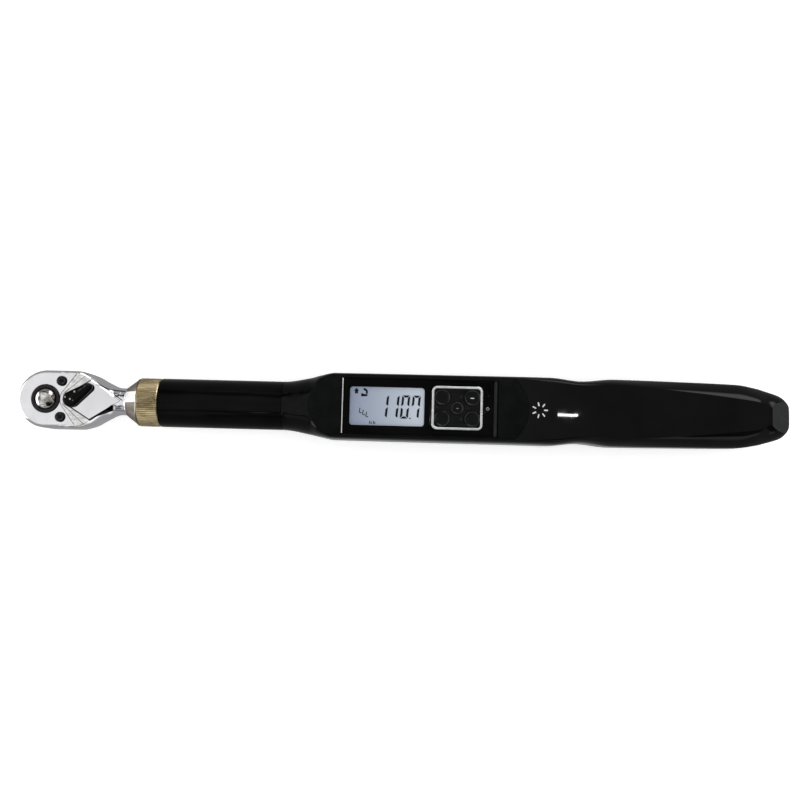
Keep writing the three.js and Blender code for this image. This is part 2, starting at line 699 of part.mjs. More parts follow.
const BODY = [
  { x: 136.5, half: 14.25, top: 14.25, bottom: 14.25, flatTop: 0.4, flatBottom: 0.4, shoulder: 0.2, crease: 0 },
  { x: 151.6, half: 16.4, top: 17.2, bottom: 16.2, flatTop: 2.5, flatBottom: 5, shoulder: 2, crease: 0 },
  { x: 158.5, half: 17.8, top: 17.2, bottom: 16.9, flatTop: 13.4, flatBottom: 8.5, shoulder: 6, crease: 0 },
  { x: 167, half: 19.1, top: 17.2, bottom: 17.4, flatTop: 17.5, flatBottom: 11, shoulder: 10, crease: 0 },
  { x: 274, half: 19.5, top: 17.2, bottom: 17.4, flatTop: 17.5, flatBottom: 11, shoulder: 10, crease: 0 },
  { x: 291, half: 19.6, top: 17.2, bottom: 17.4, flatTop: 16.2, flatBottom: 11, shoulder: 9, crease: 0 },
  { x: 309, half: 17.9, top: 17, bottom: 16, flatTop: 15, flatBottom: 10, shoulder: 8.5, crease: 0.1 },
  { x: 328, half: 19.5, top: 17, bottom: 17.4, flatTop: 15.6, flatBottom: 11, shoulder: 8.5, crease: 0.4 },
  { x: 365, half: 19.1, top: 16.9, bottom: 17.4, flatTop: 13, flatBottom: 11, shoulder: 8, crease: 0.5 },
  { x: 400, half: 18.5, top: 16.4, bottom: 17, flatTop: 9.4, flatBottom: 10, shoulder: 6, crease: 0.5 },
  { x: 411, half: 16.9, top: 16, bottom: 16, flatTop: 7.8, flatBottom: 8.5, shoulder: 5, crease: 0.5 },
  { x: 418.4, half: 15, top: 15.6, bottom: 14.6, flatTop: 4.6, flatBottom: 7, shoulder: 4.2, crease: 0.4 },
  { x: 426, half: 12.5, top: 12.6, bottom: 11.2, flatTop: 4.6, flatBottom: 5.5, shoulder: 3.4, crease: 0.2 },
  { x: 429.3, half: 10, top: 10.2, bottom: 8.8, flatTop: 4, flatBottom: 4.6, shoulder: 2.8, crease: 0.1 },
  { x: 430.7, half: 7.7, top: 8.2, bottom: 7, flatTop: 3.4, flatBottom: 3.8, shoulder: 2.4, crease: 0 },
  { x: 431.2, half: 5.6, top: 6.2, bottom: 5.4, flatTop: 3, flatBottom: 3, shoulder: 2, crease: 0 },
];

// Places along the body where its skin gets a ring: close where it curves, far apart where it is straight.
const BODY_RINGS = [
  136.5, 141, 146, 151.6, 155, 158.5, 162.5, 167, 274, 283, 291, 300, 309, 318, 328, 346, 365, 383, 400,
  406, 411, 415, 418.4, 422, 426, 429.3, 430.7, 431.2,
];
const CAVITY_RINGS = [158, 167, 274, 291, 309, 328, 400, 414, 422];
const CAVITY_TOP = 11;

// A slanted facet that closes the top of the handle at its end.
const BEVEL_START = 418.4;
const BEVEL_TOP = 15.2;
const BEVEL_SLOPE = 0.656;

function endBevel() {
  const reach = 20;
  const drop = BEVEL_TOP - BEVEL_SLOPE * reach;
  const side = (y) => [
    new THREE.Vector3(BEVEL_START, y, BEVEL_TOP),
    new THREE.Vector3(BEVEL_START + reach, y, drop),
    new THREE.Vector3(BEVEL_START + reach, y, DECK + 5),
    new THREE.Vector3(BEVEL_START - 2, y, DECK + 5),
    new THREE.Vector3(BEVEL_START - 2, y, BEVEL_TOP + BEVEL_SLOPE * 2),
  ];
  return loft([side(-20), side(20)]);
}

function bodySkin() {
  return cut(loft(BODY_RINGS.map((x) => ring(sectionAt(BODY, x)))), endBevel());
}

function bodyCavity() {
  const rings = CAVITY_RINGS.map((x) => {
    const outer = sectionAt(BODY, x);
    return ring({
      x,
      half: outer.half - WALL,
      top: CAVITY_TOP,
      bottom: outer.bottom - WALL,
      flatTop: Math.min(outer.flatTop, outer.half - WALL - 1.5),
      flatBottom: outer.flatBottom - 0.5,
      shoulder: Math.min(outer.shoulder, CAVITY_TOP - 1),
      crease: 0,
    });
  });
  return join(loft(rings), rodX(SPIGOT_RADIUS + GAP, BODY_START - 1, SPIGOT_END + 2, 0, 0, 40));
}

function coverOutline(margin) {
  const half = COVER_HALF - margin;
  const frontCentre = COVER_FRONT + COVER_FRONT_RADIUS;
  const rearCentre = COVER_REAR - COVER_REAR_RADIUS;
  const frontAngle = Math.asin(half / (COVER_FRONT_RADIUS - margin));
  const rearAngle = Math.asin(half / (COVER_REAR_RADIUS - margin));
  const shape = new THREE.Shape();
  shape.absarc(rearCentre, 0, COVER_REAR_RADIUS - margin, -rearAngle, rearAngle);
  shape.absarc(frontCentre, 0, COVER_FRONT_RADIUS - margin, Math.PI - frontAngle, Math.PI + frontAngle);
  return shape;
}

const SHELL_SCREWS = [
  [164, 11.6],
  [164, -11.6],
  [275, 12.4],
  [275, -12.4],
  [406, 0],
];
const SCREW_SEAT = -13.4;
const SCREW_SHAFT = 1.7; // clearance for the shell screws
const SCREW_SHAFT_TOP = 8.4;
const UPPER_BOSS = 3;
const LOWER_BOSS = 3.6;
const BEAM_PILLAR = 4.8;
const BOSS_FOOT = -15.4;
const BEAM_SCREW_SEAT = -13.5;
const BEAM_SCREW_HEAD = 3.7;
const FAR = 30; // beyond every outer face of the handle
const SOUND_SLOTS = 7;
const SOUND_SLOT_WIDTH = 0.9;
const SOUND_INNER = 2.3; // the slots run outwards from here
const SOUND_OUTER = 4.7;
const DISPLAY_HALF = 13.6; // half-width of the opening under the display and the keypad

// Short slots over the buzzer, spread out like rays.
function soundSlots() {
  const slots = [];
  for (let i = 0; i < SOUND_SLOTS; i += 1) {
    const half = SOUND_SLOT_WIDTH / 2;
    const slot = box(SOUND_INNER, SOUND_OUTER, -half, half, CAVITY_TOP - 2, FAR);
    slots.push(slot.rotate([0, 0, (i / SOUND_SLOTS) * 360]).translate([BUZZER_X, 0, 0]));
  }
  return slots;
}

function upperShell() {
  const half = cut(bodySkin(), bodyCavity()).intersect(box(0, 500, -FAR, FAR, GAP / 2, FAR));
  const bosses = SHELL_SCREWS.map(([x, y]) => rodZ(UPPER_BOSS, x, y, GAP / 2, CAVITY_TOP + 1, 12));
  const holes = SHELL_SCREWS.map(([x, y]) => rodZ(SCREW_SHAFT, x, y, -1, SCREW_SHAFT_TOP, 10));
  return cut(
    join(half, ...bosses),
    prism(coverOutline(-GAP), COVER_BOTTOM - GAP, DECK + 2, 14),
    box(LCD_START - 1.6, LED_X + 1.5, -DISPLAY_HALF, DISPLAY_HALF, CAVITY_TOP - 2, COVER_BOTTOM),
    ...holes,
    ...soundSlots(),
  );
}

function lowerShellBlank() {
  return cut(bodySkin(), bodyCavity()).intersect(box(0, 500, -FAR, FAR, -FAR, -GAP / 2));
}

function lowerShell() {
  const bosses = SHELL_SCREWS.map(([x, y]) => rodZ(LOWER_BOSS, x, y, BOSS_FOOT, -GAP / 2, 12));
  const shafts = SHELL_SCREWS.map(([x, y]) => rodZ(SCREW_SHAFT, x, y, -FAR, 1, 10));
  const seats = SHELL_SCREWS.map(([x, y]) => rodZ(UPPER_BOSS, x, y, -FAR, SCREW_SEAT, 12));
  const pillars = BEAM_SCREWS.map((x) => rodZ(BEAM_PILLAR, x, 0, BOSS_FOOT, -BEAM_HALF - GAP, 14));
  const beamHoles = BEAM_SCREWS.map((x) => rodZ(PIN_BORE, x, 0, -FAR, 0, 12));
  const beamSeats = BEAM_SCREWS.map((x) => rodZ(BEAM_SCREW_HEAD, x, 0, -FAR, BEAM_SCREW_SEAT, 14));
  return cut(
    join(lowerShellBlank(), ...bosses, ...pillars),
    box(DOOR_START, DOOR_END, -DOOR_HALF, DOOR_HALF, -FAR, DOOR_CEILING),
    ...shafts,
    ...seats,
    ...beamHoles,
    ...beamSeats,
  );
}

function batteryDoor() {
  const margin = GAP + SAG;
  const opening = box(
    DOOR_START + margin,
    DOOR_END - margin,
    -DOOR_HALF + margin,
    DOOR_HALF - margin,
    -FAR,
    DOOR_CEILING,
  );
  const grips = [0, 1, 2].map((i) => {
    const x = GRIP_START + i * GRIP_PITCH;
    return box(x, x + GRIP_WIDTH, -GRIP_HALF, GRIP_HALF, -FAR, -UNDERSIDE + 0.6);
  });
  return cut(lowerShellBlank().intersect(opening), ...grips);
}

function shellScrew([x, y]) {
  const head = rodZ(2.6, x, y, SCREW_SEAT - 2.2, SCREW_SEAT - 0.2, 12);
  return join(rodZ(SCREW_SHAFT - GAP, x, y, SCREW_SEAT - 1, SCREW_SHAFT_TOP - 0.4, 10), head);
}

// ---------- display and keypad ----------

function keypadRing(inset, radius) {
  return roundedRectangle(
    KEYPAD_X - KEYPAD_HALF_X + inset,
    KEYPAD_X + KEYPAD_HALF_X - inset,
    -KEYPAD_HALF_Y + inset,
    KEYPAD_HALF_Y - inset,
    radius,
  );
}

const LED_BORE = 1.2;
const KEYPAD_BOTTOM = 14.8;
const KEY_STEM = 1.6;
const KEY_STEM_BOTTOM = 12.4;

function displayCover() {
  return cut(
    prism(coverOutline(0), COVER_BOTTOM, DECK, 14),
    box(LENS_START - 1.5, LENS_END + 2.8, -LENS_HALF - GAP, LENS_HALF + GAP, LENS_BOTTOM - GAP, DECK + 1),
    box(LCD_START - 1.2, LCD_END + 1.2, -LCD_HALF - 1, LCD_HALF + 1, COVER_BOTTOM - 1, DECK),
    prism(keypadRing(-GAP, 3.2), COVER_BOTTOM - 1, DECK, 4),
    rodZ(LED_BORE, LED_X, 0, COVER_BOTTOM - 1, DECK, 14),
  );
}

function windowLens() {
  return cut(
    box(LENS_START, LENS_END, -LENS_HALF, LENS_HALF, LENS_BOTTOM, LENS_TOP),
    prism(keypadRing(-GAP, 3.2), LENS_BOTTOM - 1, LENS_TOP + 1, 4),
    rodZ(LED_BORE, LED_X, 0, LENS_BOTTOM - 1, LENS_TOP + 1, 14),
  );
}

function keypadFrame() {
  const outside = prism(keypadRing(0, 3), KEYPAD_BOTTOM - 0.4, DECK + 0.5, 5);
  return cut(outside, prism(keypadRing(KEYPAD_FRAME, 1.8), KEYPAD_BOTTOM - 1, DECK + 1, 5));
}

const KEYS = [
  ["button_top_left", -1, 1, KEY_RADIUS],
  ["button_top_right", 1, 1, KEY_RADIUS],
  ["button_bottom_left", -1, -1, KEY_RADIUS],
  ["button_bottom_right", 1, -1, KEY_RADIUS],
  ["button_centre", 0, 0, CENTRE_KEY_RADIUS],
];
const keyX = (column) => KEYPAD_X + column * KEY_PITCH_X;
const keyY = (row) => row * KEY_PITCH_Y;

function keypadPanel() {
  const holes = KEYS.map(([, column, row, radius]) =>
    rodZ(radius + GAP + SAG, keyX(column), keyY(row), 12, DECK + 1, 18),
  );
  return cut(prism(keypadRing(KEYPAD_FRAME + GAP, 1.5), KEYPAD_BOTTOM, DECK - 0.2, 4), ...holes);
}

function keyCap([, column, row, radius]) {
  const crown = DECK + 0.35;
  const cap = turnedZ([
    [0, KEY_STEM_BOTTOM],
    [KEY_STEM, KEY_STEM_BOTTOM],
    [KEY_STEM, KEYPAD_BOTTOM + 0.1],
    [radius, KEYPAD_BOTTOM + 0.1],
    [radius, crown - 0.6],
    [radius * 0.86, crown - 0.2],
    [radius * 0.5, crown],
    [0, crown],
  ], 18);
  return cap.translate([keyX(column), keyY(row), 0]);
}

// Heights of the stack under the window: board, backlight and display.
const BOARD_BOTTOM = 8.5;
const BOARD_TOP = 10.1;
const BACKLIGHT_BOTTOM = 10.6;
const BACKLIGHT_TOP = 13.1;
const LCD_BOTTOM = 13.4;
const LED_FOOT = 11.2;
const LCD_BORDER = 0.8;

function lcdPanel() {
  const half = LCD_HALF + LCD_BORDER;
  return box(LCD_START - LCD_BORDER, LCD_END + LCD_BORDER, -half, half, LCD_BOTTOM, LENS_BOTTOM - GAP);
}

const backlight = () => box(LCD_START, LCD_END, -LCD_HALF, LCD_HALF, BACKLIGHT_BOTTOM, BACKLIGHT_TOP);

function statusLed() {
  const lens = rodZ(LED_BORE - GAP, LED_X, 0, LED_FOOT, LENS_TOP + 0.1, 14);
  return join(lens, rodZ(LED_BORE - FINE_GAP, LED_X, 0, LED_FOOT, BACKLIGHT_TOP, 14));
}

const frontTrim = () => box(LENS_START - 1.1, LENS_START - 0.3, -LENS_HALF, LENS_HALF, LENS_BOTTOM, DECK + 0.1);
const rearTrim = () => box(LENS_END + 0.3, LENS_END + 2.5, -LENS_HALF, LENS_HALF, LENS_BOTTOM, DECK);

function circuitBoard() {
  const board = box(174, 270, -13.2, 13.2, BOARD_BOTTOM, BOARD_TOP);
  const chip = box(224, 234, -5, 5, BOARD_BOTTOM - 1.6, BOARD_BOTTOM + 0.1);
  const connector = box(264, 269, -4, 4, BOARD_BOTTOM - 1.9, BOARD_BOTTOM + 0.1);
  return join(board, chip, connector);
}

function keySwitch([, column, row]) {
  return rodZ(1.5, keyX(column), keyY(row), BOARD_TOP + GAP, KEY_STEM_BOTTOM - 0.8, 10);
}

// ---------- batteries ----------

const TRAY_START = 324.6;
const TRAY_END = 385;
const TRAY_HALF = 15.1;
const TRAY_WALL = 1.2;
const TRAY_RIM = -11.2;

// A tray that is open downwards, over the door.
function batteryTray() {
  const inner = TRAY_HALF - TRAY_WALL / 2;
  return cut(
    box(TRAY_START, TRAY_END, -TRAY_HALF, TRAY_HALF, TRAY_RIM, 2),
    box(TRAY_START + TRAY_WALL, TRAY_END - TRAY_WALL, -inner, inner, TRAY_RIM - 1, 1.1),
  );
}

const CELL_Y = CELL_RADIUS + 0.25;
const KNOB_RADIUS = 2.6;
const KNOB_LENGTH = 1;

// The two cells lie side by side with their knobs at opposite ends.
function batteryCell(side) {
  const y = side * CELL_Y;
  const end = CELL_START + CELL_LENGTH;
  const knobX = side > 0 ? [end - KNOB_LENGTH - 0.5, end] : [CELL_START, CELL_START + KNOB_LENGTH + 0.5];
  const bodyX = side > 0 ? [CELL_START, end - KNOB_LENGTH] : [CELL_START + KNOB_LENGTH, end];
  return join(
    rodX(CELL_RADIUS, ...bodyX, y, CELL_HEIGHT, 24),
    rodX(KNOB_RADIUS, ...knobX, y, CELL_HEIGHT, 14),
  );
}

function contactPlate() {
  return box(CELL_START - 1.5, CELL_START - 0.9, -12, 12, CELL_HEIGHT - 4, CELL_HEIGHT + 4);
}

function contactSpring(side) {
  const y = side * CELL_Y;
  const from = new THREE.Vector3(CELL_START + CELL_LENGTH + 0.9, y, CELL_HEIGHT);
  return spring(2.8, 0.4, 2, from, new THREE.Vector3(TRAY_END - 2, y, CELL_HEIGHT));
}

// ---------- the pieces ----------

piece("head_body", headBody(), CHROME);
piece("head_cover_plate", coverPlate(), CHROME);
piece("cover_screw_upper", coverScrew(1), BLACK_OXIDE);
piece("cover_screw_lower", coverScrew(-1), BLACK_OXIDE);
piece("drive_gear", driveGear(), STEEL);
piece("gear_bush", gearBush(), BLACK_OXIDE);
piece("release_button", releaseButton(), CHROME);
piece("release_spring", releaseSpring(), STEEL);
piece("detent_ball", detentBall(), STEEL);
piece("reversing_lever", reversingLever(), BLACK_OXIDE);
piece("pawl", pawl(), STEEL);
piece("pawl_plunger", detentPlunger(), STEEL);
piece("pawl_spring", detentSpring(), STEEL);
piece("knurled_collar", knurledCollar(), BRASS);
piece("tube", tube(), GLOSS_BLACK);
piece("strain_beam", strainBeam(), STEEL);
piece("strain_gauge_left", strainGauge(1), FOIL);
piece("strain_gauge_right", strainGauge(-1), FOIL);
piece("shank_pin", shankPin(), STEEL);
BEAM_SCREWS.forEach((x, i) => piece(`beam_screw_${i + 1}`, beamScrew(x), STEEL));
piece("upper_shell", upperShell(), GLOSS_BLACK);
piece("lower_shell", lowerShell(), GLOSS_BLACK);
SHELL_SCREWS.forEach((place, i) => piece(`shell_screw_${i + 1}`, shellScrew(place), BLACK_OXIDE));
piece("display_cover", displayCover(), MATTE_BLACK);
piece("window_lens", windowLens(), GLOSS_BLACK);
piece("window_trim_front", frontTrim(), SILVER);
piece("window_trim_rear", rearTrim(), DARK_GREY);
piece("lcd_panel", lcdPanel(), LCD_GREY);
piece("lcd_backlight", backlight(), WHITE);
piece("circuit_board", circuitBoard(), BOARD_GREEN);
piece("keypad_frame", keypadFrame(), SILVER);
piece("keypad_panel", keypadPanel(), RUBBER);
KEYS.forEach((key) => piece(key[0], keyCap(key), RUBBER));
KEYS.forEach((key) => piece(key[0].replace("button", "switch"), keySwitch(key), STEEL));
piece("status_led", statusLed(), WHITE);
piece("buzzer", rodZ(6, BUZZER_X, 0, 7, 10.6, 28), BLACK_OXIDE);
piece("battery_door", batteryDoor(), GLOSS_BLACK);
piece("battery_tray", batteryTray(), MATTE_BLACK);
piece("battery_cell_left", batteryCell(1), CELL_WRAP);
piece("battery_cell_right", batteryCell(-1), CELL_WRAP);
piece("battery_contact_plate", contactPlate(), STEEL);
piece("battery_spring_left", contactSpring(1), STEEL);
piece("battery_spring_right", contactSpring(-1), STEEL);

export default wrench;
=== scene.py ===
import math

import bmesh
import bpy
from mathutils import Matrix, Vector


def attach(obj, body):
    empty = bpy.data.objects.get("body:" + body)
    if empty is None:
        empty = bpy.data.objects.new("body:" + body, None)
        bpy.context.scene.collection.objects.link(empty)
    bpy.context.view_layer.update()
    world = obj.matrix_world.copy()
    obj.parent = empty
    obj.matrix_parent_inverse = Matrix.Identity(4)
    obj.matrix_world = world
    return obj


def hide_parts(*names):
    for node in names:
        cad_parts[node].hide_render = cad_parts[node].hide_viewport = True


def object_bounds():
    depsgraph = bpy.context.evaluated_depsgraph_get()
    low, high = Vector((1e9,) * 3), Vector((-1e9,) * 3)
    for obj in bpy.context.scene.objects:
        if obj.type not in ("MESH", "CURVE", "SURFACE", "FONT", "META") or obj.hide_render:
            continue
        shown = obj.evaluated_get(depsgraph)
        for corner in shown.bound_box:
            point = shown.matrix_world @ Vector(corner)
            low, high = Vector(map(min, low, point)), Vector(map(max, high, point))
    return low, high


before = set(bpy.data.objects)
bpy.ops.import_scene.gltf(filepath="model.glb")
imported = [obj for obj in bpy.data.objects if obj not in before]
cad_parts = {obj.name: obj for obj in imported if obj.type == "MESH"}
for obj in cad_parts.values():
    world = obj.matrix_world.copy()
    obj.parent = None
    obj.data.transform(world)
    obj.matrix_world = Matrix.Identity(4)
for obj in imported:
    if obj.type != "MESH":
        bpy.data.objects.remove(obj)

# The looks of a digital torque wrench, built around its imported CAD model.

cad_low, cad_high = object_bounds()

# ---------- driving dimensions, in millimetres from the tool axis ----------

MM = 0.001
AXIS_HEIGHT = 22.0  # tool axis above the drive square's end face
HEAD_RADIUS = 16.7
HEAD_BOTTOM = -10.5
HEAD_DECK = 8.4
HEAD_RIM = 10.4
PLATE_TOP = 10.9
PLATE_MARGIN = 1.9
SCREW_TOP = PLATE_TOP + 0.6
NECK_RADIUS = 7.95
CONE_START = 44.8
CONE_RADIUS = 13.9
COLLAR_START = 52.2
COLLAR_END = 64.9
COLLAR_RADIUS = 14.15
SHANK_RADIUS = 11.6
TUBE_RADIUS = 14.25
BODY_START = 136.5
BODY_END = 431.2
PIVOT_X = 14.9
LEVER_REACH = 12.0
LEVER_ANGLE = 36
SCREW_X = 8.9
SCREW_Y = 10.4
DECK = 17.2
COVER_HALF = 17.2
COVER_FRONT = 152.1
COVER_FRONT_RADIUS = 18.0
COVER_REAR = 278.4
COVER_REAR_RADIUS = 22.0
LENS_START = 172.4
LENS_END = 258.0
LENS_HALF = 15.8
LENS_TOP = 17.0
LENS_BOTTOM = 15.9
LCD_START = 175.9
LCD_END = 218.5
LCD_HALF = 11.0
LCD_TOP = 15.6
KEYPAD_X = 237.4
KEYPAD_HALF_X = 14.6
KEYPAD_HALF_Y = 12.5
KEYPAD_FRAME = 1.4
KEY_PITCH_X = 8.6
KEY_PITCH_Y = 6.1
LED_X = 254.8
BUZZER_X = 284.6
DOOR_START = 322.0
DOOR_END = 386.0
DOOR_HALF = 13.0


# ---------- mesh helpers ----------

def place(x, y, h):
    """A point of the tool, given in millimetres from its axis, as metres in the frame."""
    return Vector((x, y, h + AXIS_HEIGHT)) * MM


def build(name, points, faces, sharp=32):
    """A mesh object from tool points and faces, shaded smooth up to an edge angle."""
    mesh = bpy.data.meshes.new(name)
    mesh.from_pydata([place(*p) for p in points], [], faces)
    shell = bmesh.new()
    shell.from_mesh(mesh)
    bmesh.ops.remove_doubles(shell, verts=shell.verts, dist=1e-7)
    bmesh.ops.recalc_face_normals(shell, faces=shell.faces)
    shell.to_mesh(mesh)
    shell.free()
    obj = bpy.data.objects.new(name, mesh)
    bpy.context.scene.collection.objects.link(obj)
    shade(obj, sharp)
    return obj


def shade(obj, sharp=32):
    obj.data.shade_smooth()
    obj.data.set_sharp_from_angle(angle=math.radians(sharp))


def settle(obj):
    """Applies the object's modifiers to its mesh."""
    graph = bpy.context.evaluated_depsgraph_get()
    mesh = bpy.data.meshes.new_from_object(obj.evaluated_get(graph))
    old = obj.data
    obj.modifiers.clear()
    obj.data = mesh
    mesh.name = obj.name
    bpy.data.meshes.remove(old)


def carve(obj, cutter, operation="DIFFERENCE"):
    """Cuts, joins or intersects obj with a helper object, which is then removed."""
    modifier = obj.modifiers.new("carve", "BOOLEAN")
    modifier.operation = operation
    modifier.solver = "EXACT"
    modifier.object = cutter
    settle(obj)
    mesh = cutter.data
    bpy.data.objects.remove(cutter)
    bpy.data.meshes.remove(mesh)
    return obj


def soften(obj, width, segments=2):
    """Rounds the sharp edges of obj by a width in millimetres."""
    modifier = obj.modifiers.new("bevel", "BEVEL")
    modifier.width = width * MM
    modifier.segments = segments
    modifier.limit_method = "ANGLE"
    modifier.angle_limit = math.radians(35)
    modifier.use_clamp_overlap = True
    settle(obj)
    shade(obj)
    return obj


def loft(name, rings, sharp=32):
    """A closed skin over rings that have the same number of points."""
    count = len(rings[0])
    points = [p for ring in rings for p in ring]
    faces = []
    for i in range(len(rings) - 1):
        for j in range(count):
            a = i * count + j
            b = i * count + (j + 1) % count
            faces.append((a, b, b + count, a + count))
    faces.append(tuple(range(count))[::-1])
    last = (len(rings) - 1) * count
    faces.append(tuple(range(last, last + count)))
    return build(name, points, faces, sharp)


def prisms(name, outlines, h0, h1):
    """Outlines of (x, y) points, each raised from h0 to h1, as one object."""
    points, faces = [], []
    for outline in outlines:
        base, count = len(points), len(outline)
        points += [(x, y, h) for h in (h0, h1) for x, y in outline]
        faces += [tuple(range(base, base + count))[::-1], tuple(range(base + count, base + 2 * count))]
        for j in range(count):
            k = (j + 1) % count
            faces.append((base + j, base + k, base + k + count, base + j + count))
    return build(name, points, faces)


def prism(name, outline, h0, h1):
    return prisms(name, [outline], h0, h1)


def turned(name, profile, axis="z", centre=(0, 0), sides=64, sharp=32):
    """A profile of (radius, distance) points, turned about the tool's axis or a vertical one at centre."""
    points = []
    for radius, along in profile:
        for j in range(sides):
            angle = 2 * math.pi * j / sides
            c, s = radius * math.cos(angle), radius * math.sin(angle)
            points.append((centre[0] + c, centre[1] + s, along) if axis == "z" else (along, c, s))
    faces = []
    steps = len(profile)
    for i in range(steps):
        k = (i + 1) % steps
        if k == 0 and profile[0][0] == 0 and profile[-1][0] == 0:
            continue
        for j in range(sides):
            n = (j + 1) % sides
            faces.append((i * sides + j, i * sides + n, k * sides + n, k * sides + j))
    obj = build(name, points, faces, sharp)
    clean(obj, sharp)
    return obj


def cylinder(name, radius, low, high, centre=(0, 0), sides=48, axis="z"):
    profile = [(0, low), (radius, low), (radius, high), (0, high)]
    return turned(name, profile, axis, centre, sides)


def clean(obj, sharp):
    """Removes the collapsed faces that a profile leaves on its axis."""
    work = bmesh.new()
    work.from_mesh(obj.data)
    bmesh.ops.dissolve_degenerate(work, dist=1e-8, edges=work.edges)
    bmesh.ops.recalc_face_normals(work, faces=work.faces)
    work.to_mesh(obj.data)
    work.free()
    shade(obj, sharp)


def arc(cx, cy, radius, start, end, steps=12):
    """Points on an arc, from start to end in degrees."""
    points = []
    for i in range(steps + 1):
        angle = math.radians(start + (end - start) * i / steps)
        points.append((cx + radius * math.cos(angle), cy + radius * math.sin(angle)))
    return points


def rectangle(x0, x1, y0, y1):
    return [(x0, y0), (x1, y0), (x1, y1), (x0, y1)]


def rounded_rectangle(x0, x1, y0, y1, radius, steps=8):
    return (
        arc(x1 - radius, y0 + radius, radius, -90, 0, steps)
        + arc(x1 - radius, y1 - radius, radius, 0, 90, steps)
        + arc(x0 + radius, y1 - radius, radius, 90, 180, steps)
        + arc(x0 + radius, y0 + radius, radius, 180, 270, steps)
    )


def between(stations, key, x):
    """A value between stations, on a cubic that never overshoots them."""
    last = len(stations) - 1
    if x <= stations[0]["x"]:
        return stations[0][key]
    if x >= stations[last]["x"]:
        return stations[last][key]

    def slope(i):
        run = stations[i + 1]["x"] - stations[i]["x"]
        return (stations[i + 1][key] - stations[i][key]) / run

    def tangent(i):
        if i in (0, last):
            return 0
        before, after = slope(i - 1), slope(i)
        return 0 if before * after <= 0 else 2 * before * after / (before + after)

    i = next(n for n in range(last) if x <= stations[n + 1]["x"])
    span = stations[i + 1]["x"] - stations[i]["x"]
    t = (x - stations[i]["x"]) / span
    start = stations[i][key] * (1 + 2 * t) * (1 - t) ** 2
    end = stations[i + 1][key] * t * t * (3 - 2 * t)
    bend = tangent(i) * t * (1 - t) ** 2 - tangent(i + 1) * t * t * (1 - t)
    return start + end + span * bend


FLAT_EDGE = 0.7  # a row of points this far inside each flat keeps it flat in smooth shading
STATION_KEYS = ("x", "half", "top", "bottom", "flat_top", "flat_bottom", "shoulder", "crease")


def section_ring(stations, x, corner_steps=10, shrink=0.0):
    """One cross-section of a body: flats above and below, elliptical corners between.

    A crease makes the upper corners leave the flat at an angle.
    """
    half, top, bottom, flat_top, flat_bottom, shoulder, crease = (
        between(stations, key, x) for key in STATION_KEYS[1:]
    )
    half, top, bottom = half - shrink, top - shrink, bottom - shrink
    flat_top, flat_bottom = min(flat_top, half - 0.2), min(flat_bottom, half - 0.2)
    points = []

    def corner(side, sign, flat, height, steps):
        for t in steps:
            angle = t * math.pi / 2
            y = flat + (half - flat) * math.sin(angle)
            dip = crease * math.sin(2 * angle) / 2 if sign > 0 else 0
            z = shoulder + (height - shoulder) * (math.cos(angle) - dip)
            points.append((x, side * y, sign * z))

    up = [i / corner_steps for i in range(corner_steps + 1)]
    down = up[::-1]
    inner_top, inner_bottom = max(flat_top - FLAT_EDGE, 0.1), max(flat_bottom - FLAT_EDGE, 0.1)
    points.append((x, inner_top, top))
    corner(1, 1, flat_top, top, up)
    corner(1, -1, flat_bottom, bottom, down)
    points.append((x, inner_bottom, -bottom))
    points.append((x, -inner_bottom, -bottom))
    corner(-1, -1, flat_bottom, bottom, up)
    corner(-1, 1, flat_top, top, down)
    points.append((x, -inner_top, top))
    return points


def stations(*rows):
    return [dict(zip(STATION_KEYS, row)) for row in rows]


def spread(start, end, step):
    """Places from start to end, no further apart than step."""
    count = max(1, math.ceil((end - start) / step))
    return [start + (end - start) * i / count for i in range(count + 1)]


# ---------- materials ----------

